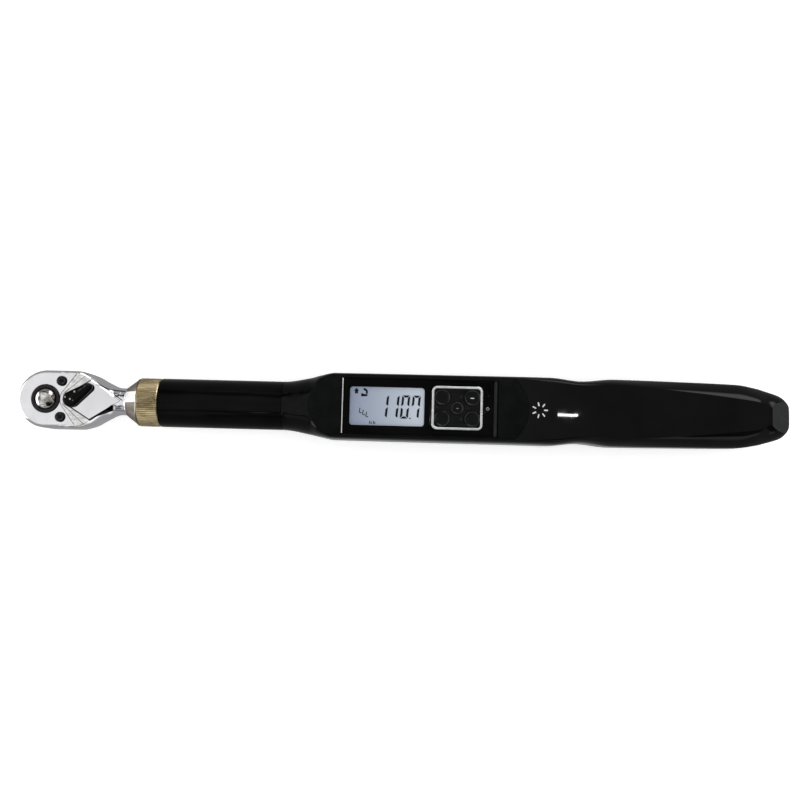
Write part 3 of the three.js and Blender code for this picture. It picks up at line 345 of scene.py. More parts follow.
class Graph:
    """Short names for the nodes of a shader tree. The levels that masks take are in millimetres."""

    def __init__(self, tree, source):
        self.nodes = tree.nodes
        self.links = tree.links
        self.point = self.nodes.new("ShaderNodeTexCoord").outputs[source]

    def axes(self):
        split = self.nodes.new("ShaderNodeSeparateXYZ")
        self.links.new(self.point, split.inputs["Vector"])
        return [split.outputs[axis] for axis in "XYZ"]

    def measure(self, operation, vector):
        """The distance from a place, or the product with a direction."""
        node = self.nodes.new("ShaderNodeVectorMath")
        node.operation = operation
        self.links.new(self.point, node.inputs[0])
        node.inputs[1].default_value = vector
        return node.outputs["Value"]

    def noise(self, scale, detail=3.0, stretch=(1, 1, 1)):
        """Noise of a grain size in features per metre, stretched along the frame's axes."""
        mapping = self.nodes.new("ShaderNodeMapping")
        mapping.inputs["Scale"].default_value = stretch
        self.links.new(self.point, mapping.inputs["Vector"])
        texture = self.nodes.new("ShaderNodeTexNoise")
        texture.inputs["Scale"].default_value = scale
        texture.inputs["Detail"].default_value = detail
        self.links.new(mapping.outputs["Vector"], texture.inputs["Vector"])
        return texture.outputs["Fac"]

    def calc(self, operation, first, second):
        node = self.nodes.new("ShaderNodeMath")
        node.operation = operation
        for socket, value in zip(node.inputs, (first, second)):
            if isinstance(value, (int, float)):
                socket.default_value = value
            else:
                self.links.new(value, socket)
        return node.outputs["Value"]

    def remap(self, value, low, high, start=0.3, end=0.7, soft=False):
        node = self.nodes.new("ShaderNodeMapRange")
        node.interpolation_type = "SMOOTHSTEP" if soft else "LINEAR"
        for socket, level in zip(("From Min", "From Max", "To Min", "To Max"), (start, end, low, high)):
            node.inputs[socket].default_value = level
        self.links.new(value, node.inputs["Value"])
        return node.outputs["Result"]

    def step(self, value, low, high):
        """0 below low, 1 above high and a soft change between."""
        return self.remap(value, 0, 1, low, high, soft=True)

    def above(self, value, start, soft=0.3):
        return self.step(value, (start - soft / 2) * MM, (start + soft / 2) * MM)

    def below(self, value, end, soft=0.3):
        return self.calc("SUBTRACT", 1.0, self.above(value, end, soft))

    def band(self, value, start, end, soft=0.3):
        return self.both(self.above(value, start, soft), self.below(value, end, soft))

    def join(self, operation, masks):
        result = masks[0]
        for mask in masks[1:]:
            result = self.calc(operation, result, mask)
        return result

    def both(self, *masks):
        return self.join("MULTIPLY", masks)

    def either(self, *masks):
        return self.join("MAXIMUM", masks)

    def offset(self, value, along, slope, start, level):
        """How far value lies above a line through the point (start, level)."""
        run = self.calc("MULTIPLY", self.calc("SUBTRACT", along, start * MM), slope)
        return self.calc("SUBTRACT", value, self.calc("ADD", run, level * MM))


class Finish(Graph):
    """A node-based material: a Principled shader with its own noise, marks (painted highlights and shade
    among them) and bump.
    """

    def __init__(self, name, color, roughness, metallic=0.0, specular=0.5):
        self.material = bpy.data.materials.new(name)
        self.material.use_nodes = True
        super().__init__(self.material.node_tree, "Object")
        self.shader = self.nodes["Principled BSDF"]
        self.set("Base Color", (*color, 1))
        self.set("Roughness", roughness)
        self.set("Metallic", metallic)
        self.set("Specular IOR Level", specular)

    def set(self, socket, value):
        self.shader.inputs[socket].default_value = value

    def drive(self, socket, value):
        self.links.new(value, self.shader.inputs[socket])

    def mix(self, factor, first, second):
        node = self.nodes.new("ShaderNodeMix")
        node.data_type = "RGBA"
        for socket, colour in (("A", first), ("B", second)):
            if isinstance(colour, tuple):
                node.inputs[socket].default_value = (*colour, 1)
            else:
                self.links.new(colour, node.inputs[socket])
        self.links.new(factor, node.inputs["Factor"])
        return node.outputs["Result"]

    def vary(self, value, first, second):
        """A colour that changes between two with a noise."""
        return self.mix(self.remap(value, 0, 1, 0.35, 0.65), first, second)

    def rough(self, value, low, high):
        self.drive("Roughness", self.remap(value, low, high))

    def tint(self, value, first, second):
        self.drive("Base Color", self.vary(value, first, second))

    def bump(self, value, depth, strength=1.0):
        """Bump of a depth in millimetres, which ends a material."""
        node = self.nodes.new("ShaderNodeBump")
        node.inputs["Distance"].default_value = depth * MM
        node.inputs["Strength"].default_value = strength
        self.links.new(value, node.inputs["Height"])
        self.drive("Normal", node.outputs["Normal"])
        return self.material


# Where the painted dark reflection on the dome lies, and its radius.
DOME_DARK_REFLECTION = (2.2, -3.2, 12.6)
DARK_REFLECTION_SIZE = 1.5


def make_dome_chrome():
    """Polished chrome with grey smudges and a painted dark reflection near the rim."""
    f = Finish("dome_chrome", (0.8, 0.8, 0.82), 0.1, 1.0)
    f.rough(f.noise(240, 4), 0.06, 0.2)
    smudge = f.remap(f.noise(190, 3), 0, 1, 0.42, 0.62)
    metal = f.mix(smudge, (0.3, 0.28, 0.26), (0.93, 0.93, 0.92))
    clear_of_dark_reflection = f.above(f.measure("DISTANCE", place(*DOME_DARK_REFLECTION)), DARK_REFLECTION_SIZE, 0.8)
    f.drive("Base Color", f.mix(clear_of_dark_reflection, (0.02, 0.02, 0.02), metal))
    return f.bump(f.noise(900, 2), 0.003, 0.2)


# Painted shade and painted dark reflections, drawn on the head as lines. The painted shade along the V and
# the flat facet's edge are given by the slope of |y| against x and the x where both sides meet. Widths are
# distances from those lines, and the rest are stretches of x.
V_SHADE_SLOPE = 0.635
V_SHADE_ORIGIN = 6.85
V_SHADE_WIDTH = (-0.55, 0.35)
V_SHADE_X = (10.4, 25.4)
# The painted streaky reflection beside the V: its stretch of x, and how far from the shade line it starts.
BAND_REFLECTION_X = (9.5, 27.0)
BAND_REFLECTION_FROM = 0.3
# A painted dark streak inside the band's painted reflection: its line and half width.
BAND_DARK_LINE = (0.91, 15.65, 8.37)  # slope, and a point on it
BAND_DARK_HALF = 0.3
FACET_SLOPE = 0.66
FACET_END = 41.9
FACET_X = (24.9, 43.5)
UPPER_LINE = (0.9, 1.7)
THIN_LINE = (0.0, 0.25)
# The painted dark wedge below the facet's lower edge.
WEDGE_X = (25.2, 38.2)
WEDGE_START = 24.5
WEDGE_SLOPE = 0.24
LINE_STRENGTH = 0.85
CROWN_HEIGHT = 7.6
# Painted dark reflections along the neck, as lines: a point on each, its slope, where it starts and ends, and
# half its width.
NECK_DARK_REFLECTIONS = [
    (29.1, 8.86, -0.378, 28.2, 35.8, 0.4),
    (35.6, 6.4, -0.093, 35.4, 44.6, 0.45),
    (35.7, 5.2, -0.272, 35.9, 44.6, 0.2),
    (39.0, -3.13, -0.075, 38.6, 44.6, 0.22),
    (39.7, -5.44, -0.074, 38.8, 44.6, 0.16),
]


def facet_dark_reflections(f, x, y, z, across):
    """The painted dark reflections beside the flat facet: lines and a wedge."""
    outside = f.offset(across, x, -FACET_SLOPE, FACET_END, 0)
    along = f.both(f.above(x, FACET_X[0]), f.below(x, FACET_X[1], 1.5))
    upper = f.both(f.band(outside, *UPPER_LINE), f.above(y, 0.0), along)
    thin = f.both(f.band(outside, *THIN_LINE, 0.2), along)
    growth = f.calc("MULTIPLY", f.calc("SUBTRACT", x, WEDGE_START * MM), WEDGE_SLOPE)
    wedge = f.both(
        f.above(outside, 0.15), f.below(f.calc("SUBTRACT", outside, growth), 0.0), f.below(y, 0.0),
        f.above(x, WEDGE_X[0]), f.below(x, WEDGE_X[1], 0.6), f.above(z, AXIS_HEIGHT + 2.0),
    )
    return f.either(wedge, f.calc("MULTIPLY", f.either(upper, thin), LINE_STRENGTH))


def neck_dark_reflections(f, x, y, z):
    """Painted dark reflections along the neck, as brownish lines."""
    strokes = []
    for start, level, slope, first, last, half in NECK_DARK_REFLECTIONS:
        off = f.offset(y, x, slope, start, level)
        stroke = f.both(f.band(off, -half, half, 0.2), f.band(x, first, last, 0.6))
        strokes.append(f.both(stroke, f.above(z, AXIS_HEIGHT + 1.0)))
    return f.calc("MULTIPLY", f.either(*strokes), LINE_STRENGTH)


def make_head_chrome():
    """Chrome with painted streaky reflections beside the V, painted shade along the V, painted dark
    reflections around the flat facet and along the neck, and a satin cone with a painted highlight.
    """
    f = Finish("head_chrome", (0.8, 0.8, 0.82), 0.1, 1.0)
    x, y, z = f.axes()
    across = f.calc("ABSOLUTE", y, 0.0)
    crown = f.above(z, AXIS_HEIGHT + CROWN_HEIGHT, 0.4)
    beside = f.offset(across, x, V_SHADE_SLOPE, V_SHADE_ORIGIN, 0)
    v_shade = f.both(f.band(beside, *V_SHADE_WIDTH), f.band(x, *V_SHADE_X), crown)
    band_reflection = f.both(f.above(beside, BAND_REFLECTION_FROM), f.band(x, *BAND_REFLECTION_X), crown)
    dark_streak = f.both(f.band(f.offset(across, x, *BAND_DARK_LINE), -BAND_DARK_HALF, BAND_DARK_HALF), band_reflection)
    cone = f.band(x, CONE_START + 0.3, COLLAR_START - 0.1)
    layers = [
        # A painted streaky reflection on the bands beside the V.
        (band_reflection, f.vary(f.noise(700, 3, (0.3, 1, 1)), (0.62, 0.61, 0.6), (0.93, 0.93, 0.92))),
        # A painted highlight along the top of the cone (y from -0.8 to 5.4), with a painted darker reflection
        # on its sides.
        (cone, f.mix(f.band(y, -0.8, 5.4), (0.2, 0.17, 0.14), (0.95, 0.95, 0.94))),
        # A painted dark streak in the band's reflection.
        (f.calc("MULTIPLY", dark_streak, 0.75), (0.2, 0.19, 0.18)),
        # Painted dark reflections along the neck.
        (neck_dark_reflections(f, x, y, z), (0.1, 0.07, 0.065)),
        # Painted shade along the V, and painted dark reflections beside the flat facet.
        (f.either(v_shade, facet_dark_reflections(f, x, y, z, across)), (0.012, 0.012, 0.012)),
    ]
    metal = f.vary(f.noise(60, 3), (0.8, 0.8, 0.83), (0.88, 0.88, 0.9))
    for mask, colour in layers:
        metal = f.mix(mask, metal, colour)
    f.drive("Base Color", metal)
    polish = f.remap(f.noise(180, 4), 0.05, 0.12)
    f.drive("Roughness", f.calc("ADD", polish, f.calc("MULTIPLY", cone, 0.35)))
    return f.bump(f.noise(900, 2), 0.003, 0.2)


def make_plate_chrome():
    f = Finish("plate_chrome", (0.86, 0.86, 0.88), 0.16, 1.0)
    f.rough(f.noise(1400, 3, (0.06, 1, 1)), 0.12, 0.24)
    f.tint(f.noise(90, 3), (0.84, 0.84, 0.87), (0.92, 0.92, 0.93))
    return f.bump(f.noise(2600, 2, (0.05, 1, 1)), 0.003, 0.2)


def make_steel():
    f = Finish("steel", (0.55, 0.55, 0.56), 0.35, 1.0)
    f.rough(f.noise(900, 4, (1, 0.15, 1)), 0.25, 0.45)
    f.tint(f.noise(300, 3), (0.48, 0.48, 0.5), (0.62, 0.62, 0.63))
    return f.bump(f.noise(3000, 2, (1, 0.1, 1)), 0.006, 0.4)


def make_black_oxide():
    f = Finish("black_oxide", (0.003, 0.003, 0.0035), 0.12, specular=0.3)
    f.rough(f.noise(700, 4), 0.08, 0.18)
    f.tint(f.noise(260, 4), (0.002, 0.002, 0.0025), (0.005, 0.005, 0.0055))
    return f.bump(f.noise(4000, 2), 0.003, 0.2)


def make_bronze():
    f = Finish("bronze", (0.4, 0.33, 0.2), 0.3, 1.0)
    f.rough(f.noise(500, 4, (0.3, 1, 1)), 0.2, 0.4)
    f.tint(f.noise(420, 5, (0.25, 1, 1)), (0.34, 0.265, 0.135), (0.64, 0.53, 0.33))
    return f.bump(f.noise(2500, 3, (0.2, 1, 1)), 0.01, 0.4)


def make_gloss_black(name, specular, roughness):
    f = Finish(name, (0.0015, 0.0015, 0.0018), roughness, specular=specular)
    f.rough(f.noise(240, 4), roughness * 0.7, roughness * 1.5)
    f.tint(f.noise(40, 3), (0.0012, 0.0012, 0.0013), (0.0026, 0.0026, 0.0028))
    return f.bump(f.noise(300, 1), 0.001, 0.1)


def make_matte_black():
    f = Finish("matte_black", (0.003, 0.0035, 0.0035), 0.6, specular=0.05)
    f.rough(f.noise(900, 3), 0.5, 0.68)
    f.tint(f.noise(160, 3), (0.0017, 0.0022, 0.002), (0.0032, 0.0038, 0.0036))
    return f.bump(f.noise(5200, 2), 0.02, 0.35)


def make_rubber():
    f = Finish("rubber", (0.0022, 0.0024, 0.0024), 0.2, specular=0.1)
    f.rough(f.noise(1100, 3), 0.14, 0.26)
    f.tint(f.noise(260, 2), (0.0016, 0.0018, 0.0018), (0.003, 0.0032, 0.0032))
    return f.bump(f.noise(6000, 2), 0.006, 0.2)


# Painted highlights on the lever: where they are, how large, and how bright.
LEVER_HIGHLIGHTS = [
    (12.16, 0.96, 0.45, 0.35),
    (15.09, -0.12, 0.45, 0.4),
    (17.44, 4.2, 0.5, 0.4),
    (16.7, -0.9, 0.3, 0.12),
]
# The painted highlight along the spine's upper edge: its sides' distance from the lever's line, and where it
# starts and ends.
SPINE_HIGHLIGHT = (0.7, 1.3)
SPINE_HIGHLIGHT_START = 6.5
SPINE_HIGHLIGHT_END = 13.4


def make_lever_black():
    """Black finish with painted highlights at small spots and along the spine's upper edge."""
    f = Finish("lever_black", (0.004, 0.004, 0.004), 0.15, specular=0.07)
    f.rough(f.noise(700, 4), 0.08, 0.2)
    x, y = f.axes()[:2]
    turn = math.radians(LEVER_ANGLE)
    c, s = math.cos(turn), math.sin(turn)
    from_pivot = f.calc("SUBTRACT", x, PIVOT_X * MM)
    along = f.calc("ADD", f.calc("MULTIPLY", from_pivot, c), f.calc("MULTIPLY", y, s))
    side = f.calc("SUBTRACT", f.calc("MULTIPLY", y, c), f.calc("MULTIPLY", from_pivot, s))
    # A painted highlight along the spine's upper edge.
    edge = f.both(f.above(along, SPINE_HIGHLIGHT_START, 1), f.below(along, SPINE_HIGHLIGHT_END, 0.6))
    edge = f.both(edge, f.band(side, *SPINE_HIGHLIGHT), f.remap(f.noise(420, 3), 0.2, 1, 0.4, 0.6))
    metal = f.mix(edge, (0.0025, 0.0025, 0.0027), (0.075, 0.075, 0.078))
    # Painted highlights at small spots.
    for spot_x, spot_y, size, level in LEVER_HIGHLIGHTS:
        run = f.calc("POWER", f.calc("SUBTRACT", x, spot_x * MM), 2.0)
        rise = f.calc("POWER", f.calc("SUBTRACT", y, spot_y * MM), 2.0)
        near = f.below(f.calc("SQRT", f.calc("ADD", run, rise), 0.0), size, 0.5)
        metal = f.mix(near, metal, (level, level, level))
    f.drive("Base Color", metal)
    return f.bump(f.noise(900, 3), 0.01, 0.3)


# Painted highlights on each screw: a ring about the socket, and its middle.
SCREW_HIGHLIGHT_RING = (1.5, 1.9)
SCREW_HIGHLIGHT_MIDDLE = 0.45


def make_screw_black():
    """Black finish with a painted highlight ring and middle on each screw."""
    f = Finish("screw_black", (0.004, 0.004, 0.004), 0.15, specular=0.1)
    f.rough(f.noise(900, 4), 0.08, 0.2)
    screw_highlight = []
    for side in (1, -1):
        reach = f.measure("DISTANCE", place(SCREW_X, side * SCREW_Y, SCREW_TOP))
        screw_highlight += [f.band(reach, *SCREW_HIGHLIGHT_RING, 0.2), f.below(reach, SCREW_HIGHLIGHT_MIDDLE)]
    grain = f.remap(f.noise(800, 3), 0.2, 1, 0.4, 0.6)
    screw_highlight = f.calc("MULTIPLY", f.either(*screw_highlight), grain)
    f.drive("Base Color", f.mix(screw_highlight, (0.003, 0.003, 0.003), (0.06, 0.06, 0.062)))
    return f.bump(f.noise(900, 3), 0.01, 0.3)


# Painted highlights on two keys: left, right, lower and upper edge, and colour.
KEY_HIGHLIGHTS = [
    (KEYPAD_X + 7.5, KEYPAD_X + 9.5, 5.55, 6.05, (0.55, 0.56, 0.56)),
    (KEYPAD_X - 0.5, KEYPAD_X + 0.7, -0.4, 0.05, (0.16, 0.165, 0.165)),
]


def make_key_rubber():
    """Keypad rubber with two small painted highlights."""
    f = Finish("key_rubber", (0.002, 0.0022, 0.0022), 0.2, specular=0.1)
    f.rough(f.noise(1100, 3), 0.14, 0.26)
    x, y = f.axes()[:2]
    base = f.vary(f.noise(260, 2), (0.0012, 0.0014, 0.0014), (0.0024, 0.0026, 0.0026))
    for left, right, lower, upper, colour in KEY_HIGHLIGHTS:
        base = f.mix(f.both(f.band(x, left, right), f.band(y, lower, upper, 0.2)), base, colour)
    f.drive("Base Color", base)
    return f.bump(f.noise(6000, 2), 0.006, 0.2)


# The keys' rims: a lighter colour, which is a painted highlight.
def make_key_rim_highlight():
    f = Finish("key_rim", (0.012, 0.0125, 0.0125), 0.2, specular=0.3)
    f.rough(f.noise(700, 3), 0.14, 0.3)
    f.tint(f.noise(320, 3), (0.006, 0.006, 0.006), (0.06, 0.061, 0.061))
    return f.material


def make_silver():
    f = Finish("silver_trim", (0.62, 0.63, 0.62), 0.3, 1.0)
    f.rough(f.noise(1500, 3, (0.1, 1, 1)), 0.24, 0.38)
    f.tint(f.noise(300, 3), (0.56, 0.57, 0.56), (0.68, 0.69, 0.68))
    return f.bump(f.noise(3000, 2, (0.1, 1, 1)), 0.004, 0.25)


def make_grey_trim():
    f = Finish("grey_trim", (0.01, 0.011, 0.011), 0.45, specular=0.2)
    f.rough(f.noise(900, 3), 0.38, 0.55)
    f.tint(f.noise(200, 3), (0.0055, 0.0065, 0.0065), (0.01, 0.011, 0.011))
    return f.bump(f.noise(4000, 2), 0.01, 0.3)


def make_lcd():
    """A pale display that is a little brighter away from the head."""
    f = Finish("lcd", (0.3, 0.33, 0.38), 0.25, specular=0.1)
    along = f.remap(f.axes()[0], 0, 1, LCD_START * MM, LCD_END * MM)
    color = f.mix(along, (0.175, 0.205, 0.27), (0.38, 0.42, 0.47))
    f.drive("Base Color", color)
    f.drive("Emission Color", color)
    f.set("Emission Strength", 0.47)
    f.rough(f.noise(2000, 2), 0.2, 0.3)
    return f.bump(f.noise(9000, 1), 0.002, 0.15)


def make_lcd_ink():
    f = Finish("lcd_ink", (0.003, 0.004, 0.008), 0.4, specular=0.1)
    f.tint(f.noise(2000, 2), (0.003, 0.004, 0.007), (0.006, 0.007, 0.011))
    f.rough(f.noise(2000, 2), 0.35, 0.45)
    return f.material


def make_clear():
    f = Finish("clear_window", (0.02, 0.02, 0.02), 0.05, specular=0.12)
    f.set("Alpha", 0.04)
    f.rough(f.noise(500, 3), 0.03, 0.08)
    return f.material


def make_led():
    f = Finish("led_lens", (0.02, 0.02, 0.022), 0.1)
    f.set("Coat Weight", 0.6)
    f.rough(f.noise(2500, 2), 0.08, 0.18)
    f.tint(f.noise(1500, 2), (0.015, 0.015, 0.017), (0.03, 0.03, 0.034))
    return f.material


def make_plain(name, first, second, roughness, metallic=0.0):
    """A finish for inner pieces, with grain and uneven gloss."""
    f = Finish(name, first, roughness, metallic)
    f.tint(f.noise(500, 4), first, second)
    f.rough(f.noise(900, 3), roughness * 0.85, min(1.0, roughness * 1.15))
    return f.bump(f.noise(3500, 2), 0.01, 0.3)


HEAD_CHROME = make_head_chrome()
PLATE_CHROME = make_plate_chrome()
STEEL = make_steel()
BLACK_OXIDE = make_black_oxide()
LEVER_BLACK = make_lever_black()
SCREW_BLACK = make_screw_black()
KEY_RUBBER = make_key_rubber()
KEY_RIM_HIGHLIGHT = make_key_rim_highlight()
DOME_CHROME = make_dome_chrome()
BRONZE = make_bronze()
TUBE_BLACK = make_gloss_black("tube_black", 0.06, 0.08)
SHELL_BLACK = make_gloss_black("shell_black", 0.11, 0.02)
LENS_BLACK = make_gloss_black("lens_black", 0.02, 0.05)
MATTE_BLACK = make_matte_black()
# The handle's end facet: duller than the shell, and lighter in tone as a painted sheen.
END_BLACK = make_plain("end_black", (0.006, 0.0072, 0.0072), (0.011, 0.0125, 0.0125), 0.4)
RUBBER = make_rubber()
SILVER = make_silver()
GREY_TRIM = make_grey_trim()
LCD = make_lcd()
LCD_INK = make_lcd_ink()
CLEAR = make_clear()
LED_LENS = make_led()
BOARD = make_plain("board_green", (0.012, 0.09, 0.04), (0.02, 0.13, 0.06), 0.45)
FOIL = make_plain("gauge_foil", (0.42, 0.2, 0.05), (0.52, 0.28, 0.09), 0.4, 0.3)
GAUZE = make_plain("gauze", (0.5, 0.51, 0.52), (0.75, 0.76, 0.77), 0.55)
WHITE = make_plain("light_guide", (0.78, 0.8, 0.82), (0.86, 0.87, 0.88), 0.5)
CELL = make_plain("cell_sleeve", (0.02, 0.025, 0.03), (0.035, 0.04, 0.045), 0.3, 0.2)


def finish(obj, material, replaces=(), body="handle"):
    """Gives a new piece its material and its body, and hides the CAD nodes that it stands for."""
    obj.data.materials.clear()
    obj.data.materials.append(material)
    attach(obj, body)
    if replaces:
        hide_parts(*replaces)
    return obj


# ---------- ratchet head ----------

TAIL = stations(
    (8, 16.7, 10.4, 10.5, 15.2, 15.5, 8.2, 0),
    (17, 16.7, 9.95, 10.5, 14.8, 15.5, 7.6, 0),
    (24.8, 15.2, 9.4, 10.3, 11.2, 13, 5, 0.5),
    (34, 10.7, 8.6, 9, 5.2, 7, 2.4, 0.6),
    (41.7, 7.95, 7.95, 7.95, 0.4, 0.4, 0.2, 0),
)
FRONT_END = 12.0
FRONT_LEVELS = [
    (0.9, HEAD_BOTTOM), (0.45, HEAD_BOTTOM + 0.15), (0.15, HEAD_BOTTOM + 0.45), (0, HEAD_BOTTOM + 0.9),
    (0, 8.3), (0.06, 8.6), (0.22, 8.92), (0.45, 9.2), (1.2, 10.06), (1.35, 10.25), (1.55, HEAD_RIM),
]


def front_outline(margin, end):
    radius = HEAD_RADIUS - margin
    return [(end, radius)] + arc(0, 0, radius, 90, 270, 64) + [(end, -radius)]


def head_front():
    rings = []
    for margin, h in FRONT_LEVELS:
        rings.append([(x, y, h) for x, y in front_outline(margin, FRONT_END)])
    return loft("front", rings)


def lowered_band(side):
    """The space above a three-sided band between the plate's V and the flat facet."""
    corners = [(9.4, 1.6, 10.0), (20.8, 17.5, 9.4), (26.5, 17.5, 8.7), (24.7, 11.3, 8.6)]
    rings = [[(x, side * y, h + lift) for x, y, h in corners] for lift in (0, 4)]
    return loft("band", rings)


def head_body():
    tail = loft("head_body", [section_ring(TAIL, x, 12) for x in spread(8, 41.7, 0.9)])
    shank = turned("shank", [
        (0, 37), (NECK_RADIUS, 37), (NECK_RADIUS, CONE_START - 0.6), (NECK_RADIUS + 0.15, CONE_START - 0.2),
        (NECK_RADIUS + 0.5, CONE_START + 0.3), (CONE_RADIUS - 0.6, COLLAR_START - 0.7),
        (CONE_RADIUS - 0.2, COLLAR_START - 0.4), (CONE_RADIUS, COLLAR_START), (SHANK_RADIUS, COLLAR_START),
        (SHANK_RADIUS, COLLAR_END), (10.4, COLLAR_END), (10.4, 92), (0, 92),
    ], axis="x", sides=96)
    carve(tail, head_front(), "UNION")
    carve(tail, shank, "UNION")
    carve(tail, plate_blank("plate_pocket", PLATE_MARGIN - 0.2, HEAD_DECK, PLATE_TOP + 3))
    for side in (1, -1):
        carve(tail, lowered_band(side))
    holes = [((PIVOT_X, 0), 2.4, -9.0, 14), ((0, 0), 8.6, -14, -7), ((0, 0), 10.0, -8.2, 9)]
    holes += [((SCREW_X, side * SCREW_Y), 1.8, 4.5, 14) for side in (1, -1)]
    for centre, radius, bottom, top in holes:
        carve(tail, cylinder("hole", radius, bottom, top, centre))
    shade(tail, 22)
    return finish(tail, HEAD_CHROME, ["head_body"])


V_OUTER_X = 20.2
V_INNER_X = 10.4
V_INNER_Y = 3.0


def plate_blank(name, margin, h0, h1):
    """The area of the cover plate, which ends in a V with a round notch for the lever."""
    edge = V_OUTER_X - margin
    area = prism(name, front_outline(margin, edge), h0, h1)
    inner = V_INNER_X - margin
    v = prism("v", [
        (inner, V_INNER_Y), (inner, -V_INNER_Y), (edge, -HEAD_RADIUS), (edge + 5, -HEAD_RADIUS),
        (edge + 5, HEAD_RADIUS), (edge, HEAD_RADIUS),
    ], h0 - 1, h1 + 1)
    carve(area, v)
    return carve(area, cylinder("notch", 5 + margin, h0 - 1, h1 + 1, (PIVOT_X, 0)))


def cover_plate():
    plate = plate_blank("head_cover_plate", PLATE_MARGIN, HEAD_DECK + 0.1, PLATE_TOP)
    carve(plate, cylinder("hole", 8.45, 0, 20, sides=72))
    for side in (1, -1):
        carve(plate, cylinder("recess", 3.2, PLATE_TOP - 1, 20, (SCREW_X, side * SCREW_Y), 40))
    soften(plate, 0.22, 2)
    return finish(plate, PLATE_CHROME, ["head_cover_plate"])


def star(radius):
    """A six-pointed socket."""
    steps = 36
    points = []
    for i in range(steps):
        angle = 2 * math.pi * i / steps
        reach = radius * (0.84 + 0.16 * math.cos(6 * angle))
        points.append((reach * math.cos(angle), reach * math.sin(angle)))
    return points


def cover_screw(name, side):
    head = turned(name, [
        (0, PLATE_TOP - 0.85), (2.9, PLATE_TOP - 0.85), (2.92, PLATE_TOP), (2.75, PLATE_TOP + 0.3),
        (2.3, SCREW_TOP - 0.08), (1.9, SCREW_TOP), (0, SCREW_TOP),
    ], centre=(SCREW_X, side * SCREW_Y), sides=48)
    socket = [(SCREW_X + x, side * SCREW_Y + y) for x, y in star(1.5)]
    carve(head, prism("socket", socket, PLATE_TOP - 0.7, SCREW_TOP + 1))
    shade(head, 40)
    return finish(head, SCREW_BLACK, [name])


def gear_bush():
    bush = turned("gear_bush", [
        (6.15, 8.4), (8.15, 8.4), (8.15, 11.1), (8.05, 11.3),
        (7.8, 11.45), (6.5, 11.45), (6.25, 11.3), (6.15, 11.0),
    ], sides=96)
    return finish(bush, BLACK_OXIDE, ["gear_bush"], "drive")


def release_button():
    profile = [(0, 8.6), (5.7, 8.6), (5.85, 8.8), (5.85, 11.0)]
    for i in range(1, 15):
        angle = math.radians(90 * i / 14)
        profile.append((5.85 * math.cos(angle), 11.0 + 2.7 * math.sin(angle)))
    cap = turned("release_button", profile, sides=72, sharp=40)
    stem = turned("stem", [
        (0, -17.4), (2.1, -17.4), (2.1, -16.4), (1.25, -15.2), (1.25, -12.5), (2.1, -11.9), (2.1, 9), (0, 9),
    ], sides=32)
    carve(cap, stem, "UNION")
    shade(cap, 40)
    return finish(cap, DOME_CHROME, ["release_button"], "release_button")


def teardrop(inset):
    """The lever's outline: an arc round the pivot and a smaller one round the tip."""
    hub, tip = 4.6 - inset, 2.5 - inset * 0.8
    lean = math.degrees(math.acos((hub - tip) / LEVER_REACH))
    points = arc(0, 0, hub, lean, 360 - lean, 36) + arc(LEVER_REACH, 0, tip, -lean, lean, 18)
    turn = math.radians(LEVER_ANGLE)
    c, s = math.cos(turn), math.sin(turn)
    return [(PIVOT_X + x * c - y * s, x * s + y * c) for x, y in points]


def reversing_lever():
    """A teardrop lever with a raised spine and a domed hub."""
    base = PLATE_TOP + 0.4
    levels = [
        (0.25, 0), (0, 0.25), (0, 1.3), (0.15, 1.75), (0.45, 2.15),
        (0.9, 2.5), (1.4, 2.72), (2.0, 2.9), (2.5, 2.98),
    ]
    rings = [[(x, y, base + h) for x, y in teardrop(inset)] for inset, h in levels]
    lever = loft("reversing_lever", rings, 40)
    turn = math.radians(LEVER_ANGLE)
    c, s = math.cos(turn), math.sin(turn)

    def along(distance, offset):
        return PIVOT_X + distance * c - offset * s, distance * s + offset * c

    spine = [along(*p) for p in rectangle(1.5, LEVER_REACH, -0.8, 0.8)]
    carve(lever, soften(prism("spine", spine, base + 2, base + 3.4), 0.45, 3), "UNION")
    tip = [(0, 2), (1.7, 2), (1.7, 2.9), (1.5, 3.25), (1.0, 3.5), (0, 3.6)]
    tip = [(radius, base + h) for radius, h in tip]
    carve(lever, turned("tip", tip, centre=along(LEVER_REACH, 0), sides=32), "UNION")
    carve(lever, cylinder("hub", 4.4, PLATE_TOP - 0.5, base + 0.5, (PIVOT_X, 0)), "UNION")
    carve(lever, cylinder("shaft", 2.2, -9, 11, (PIVOT_X, 0), 32), "UNION")
    shade(lever, 40)
    return finish(lever, LEVER_BLACK, ["reversing_lever"], "lever")


# ---------- collar and tube ----------

def knurled_collar():
    """A ring with sharp straight ridges, rounded off at both ends."""
    ridges, depth = 72, 0.42
    start, end = COLLAR_START + 0.1, COLLAR_END - 0.05
    ends = [(0, 0.75), (0.25, 0.4), (0.6, 0.1), (0.9, 0.0)]
    levels = [(start + x, drop) for x, drop in ends] + [(end - x, drop) for x, drop in ends[::-1]]
    rings = []
    for x, drop in levels:
        ring = []
        for j in range(ridges * 2):
            angle = math.pi * j / ridges
            radius = min(COLLAR_RADIUS - (depth if j % 2 else 0), COLLAR_RADIUS - drop)
            ring.append((x, radius * math.cos(angle), radius * math.sin(angle)))
        rings.append(ring)
    collar = loft("knurled_collar", rings, 50)
    carve(collar, cylinder("bore", SHANK_RADIUS + 0.3, start - 1, end + 1, sides=64, axis="x"))
    shade(collar, 50)
    return finish(collar, BRONZE, ["knurled_collar"], "collar")


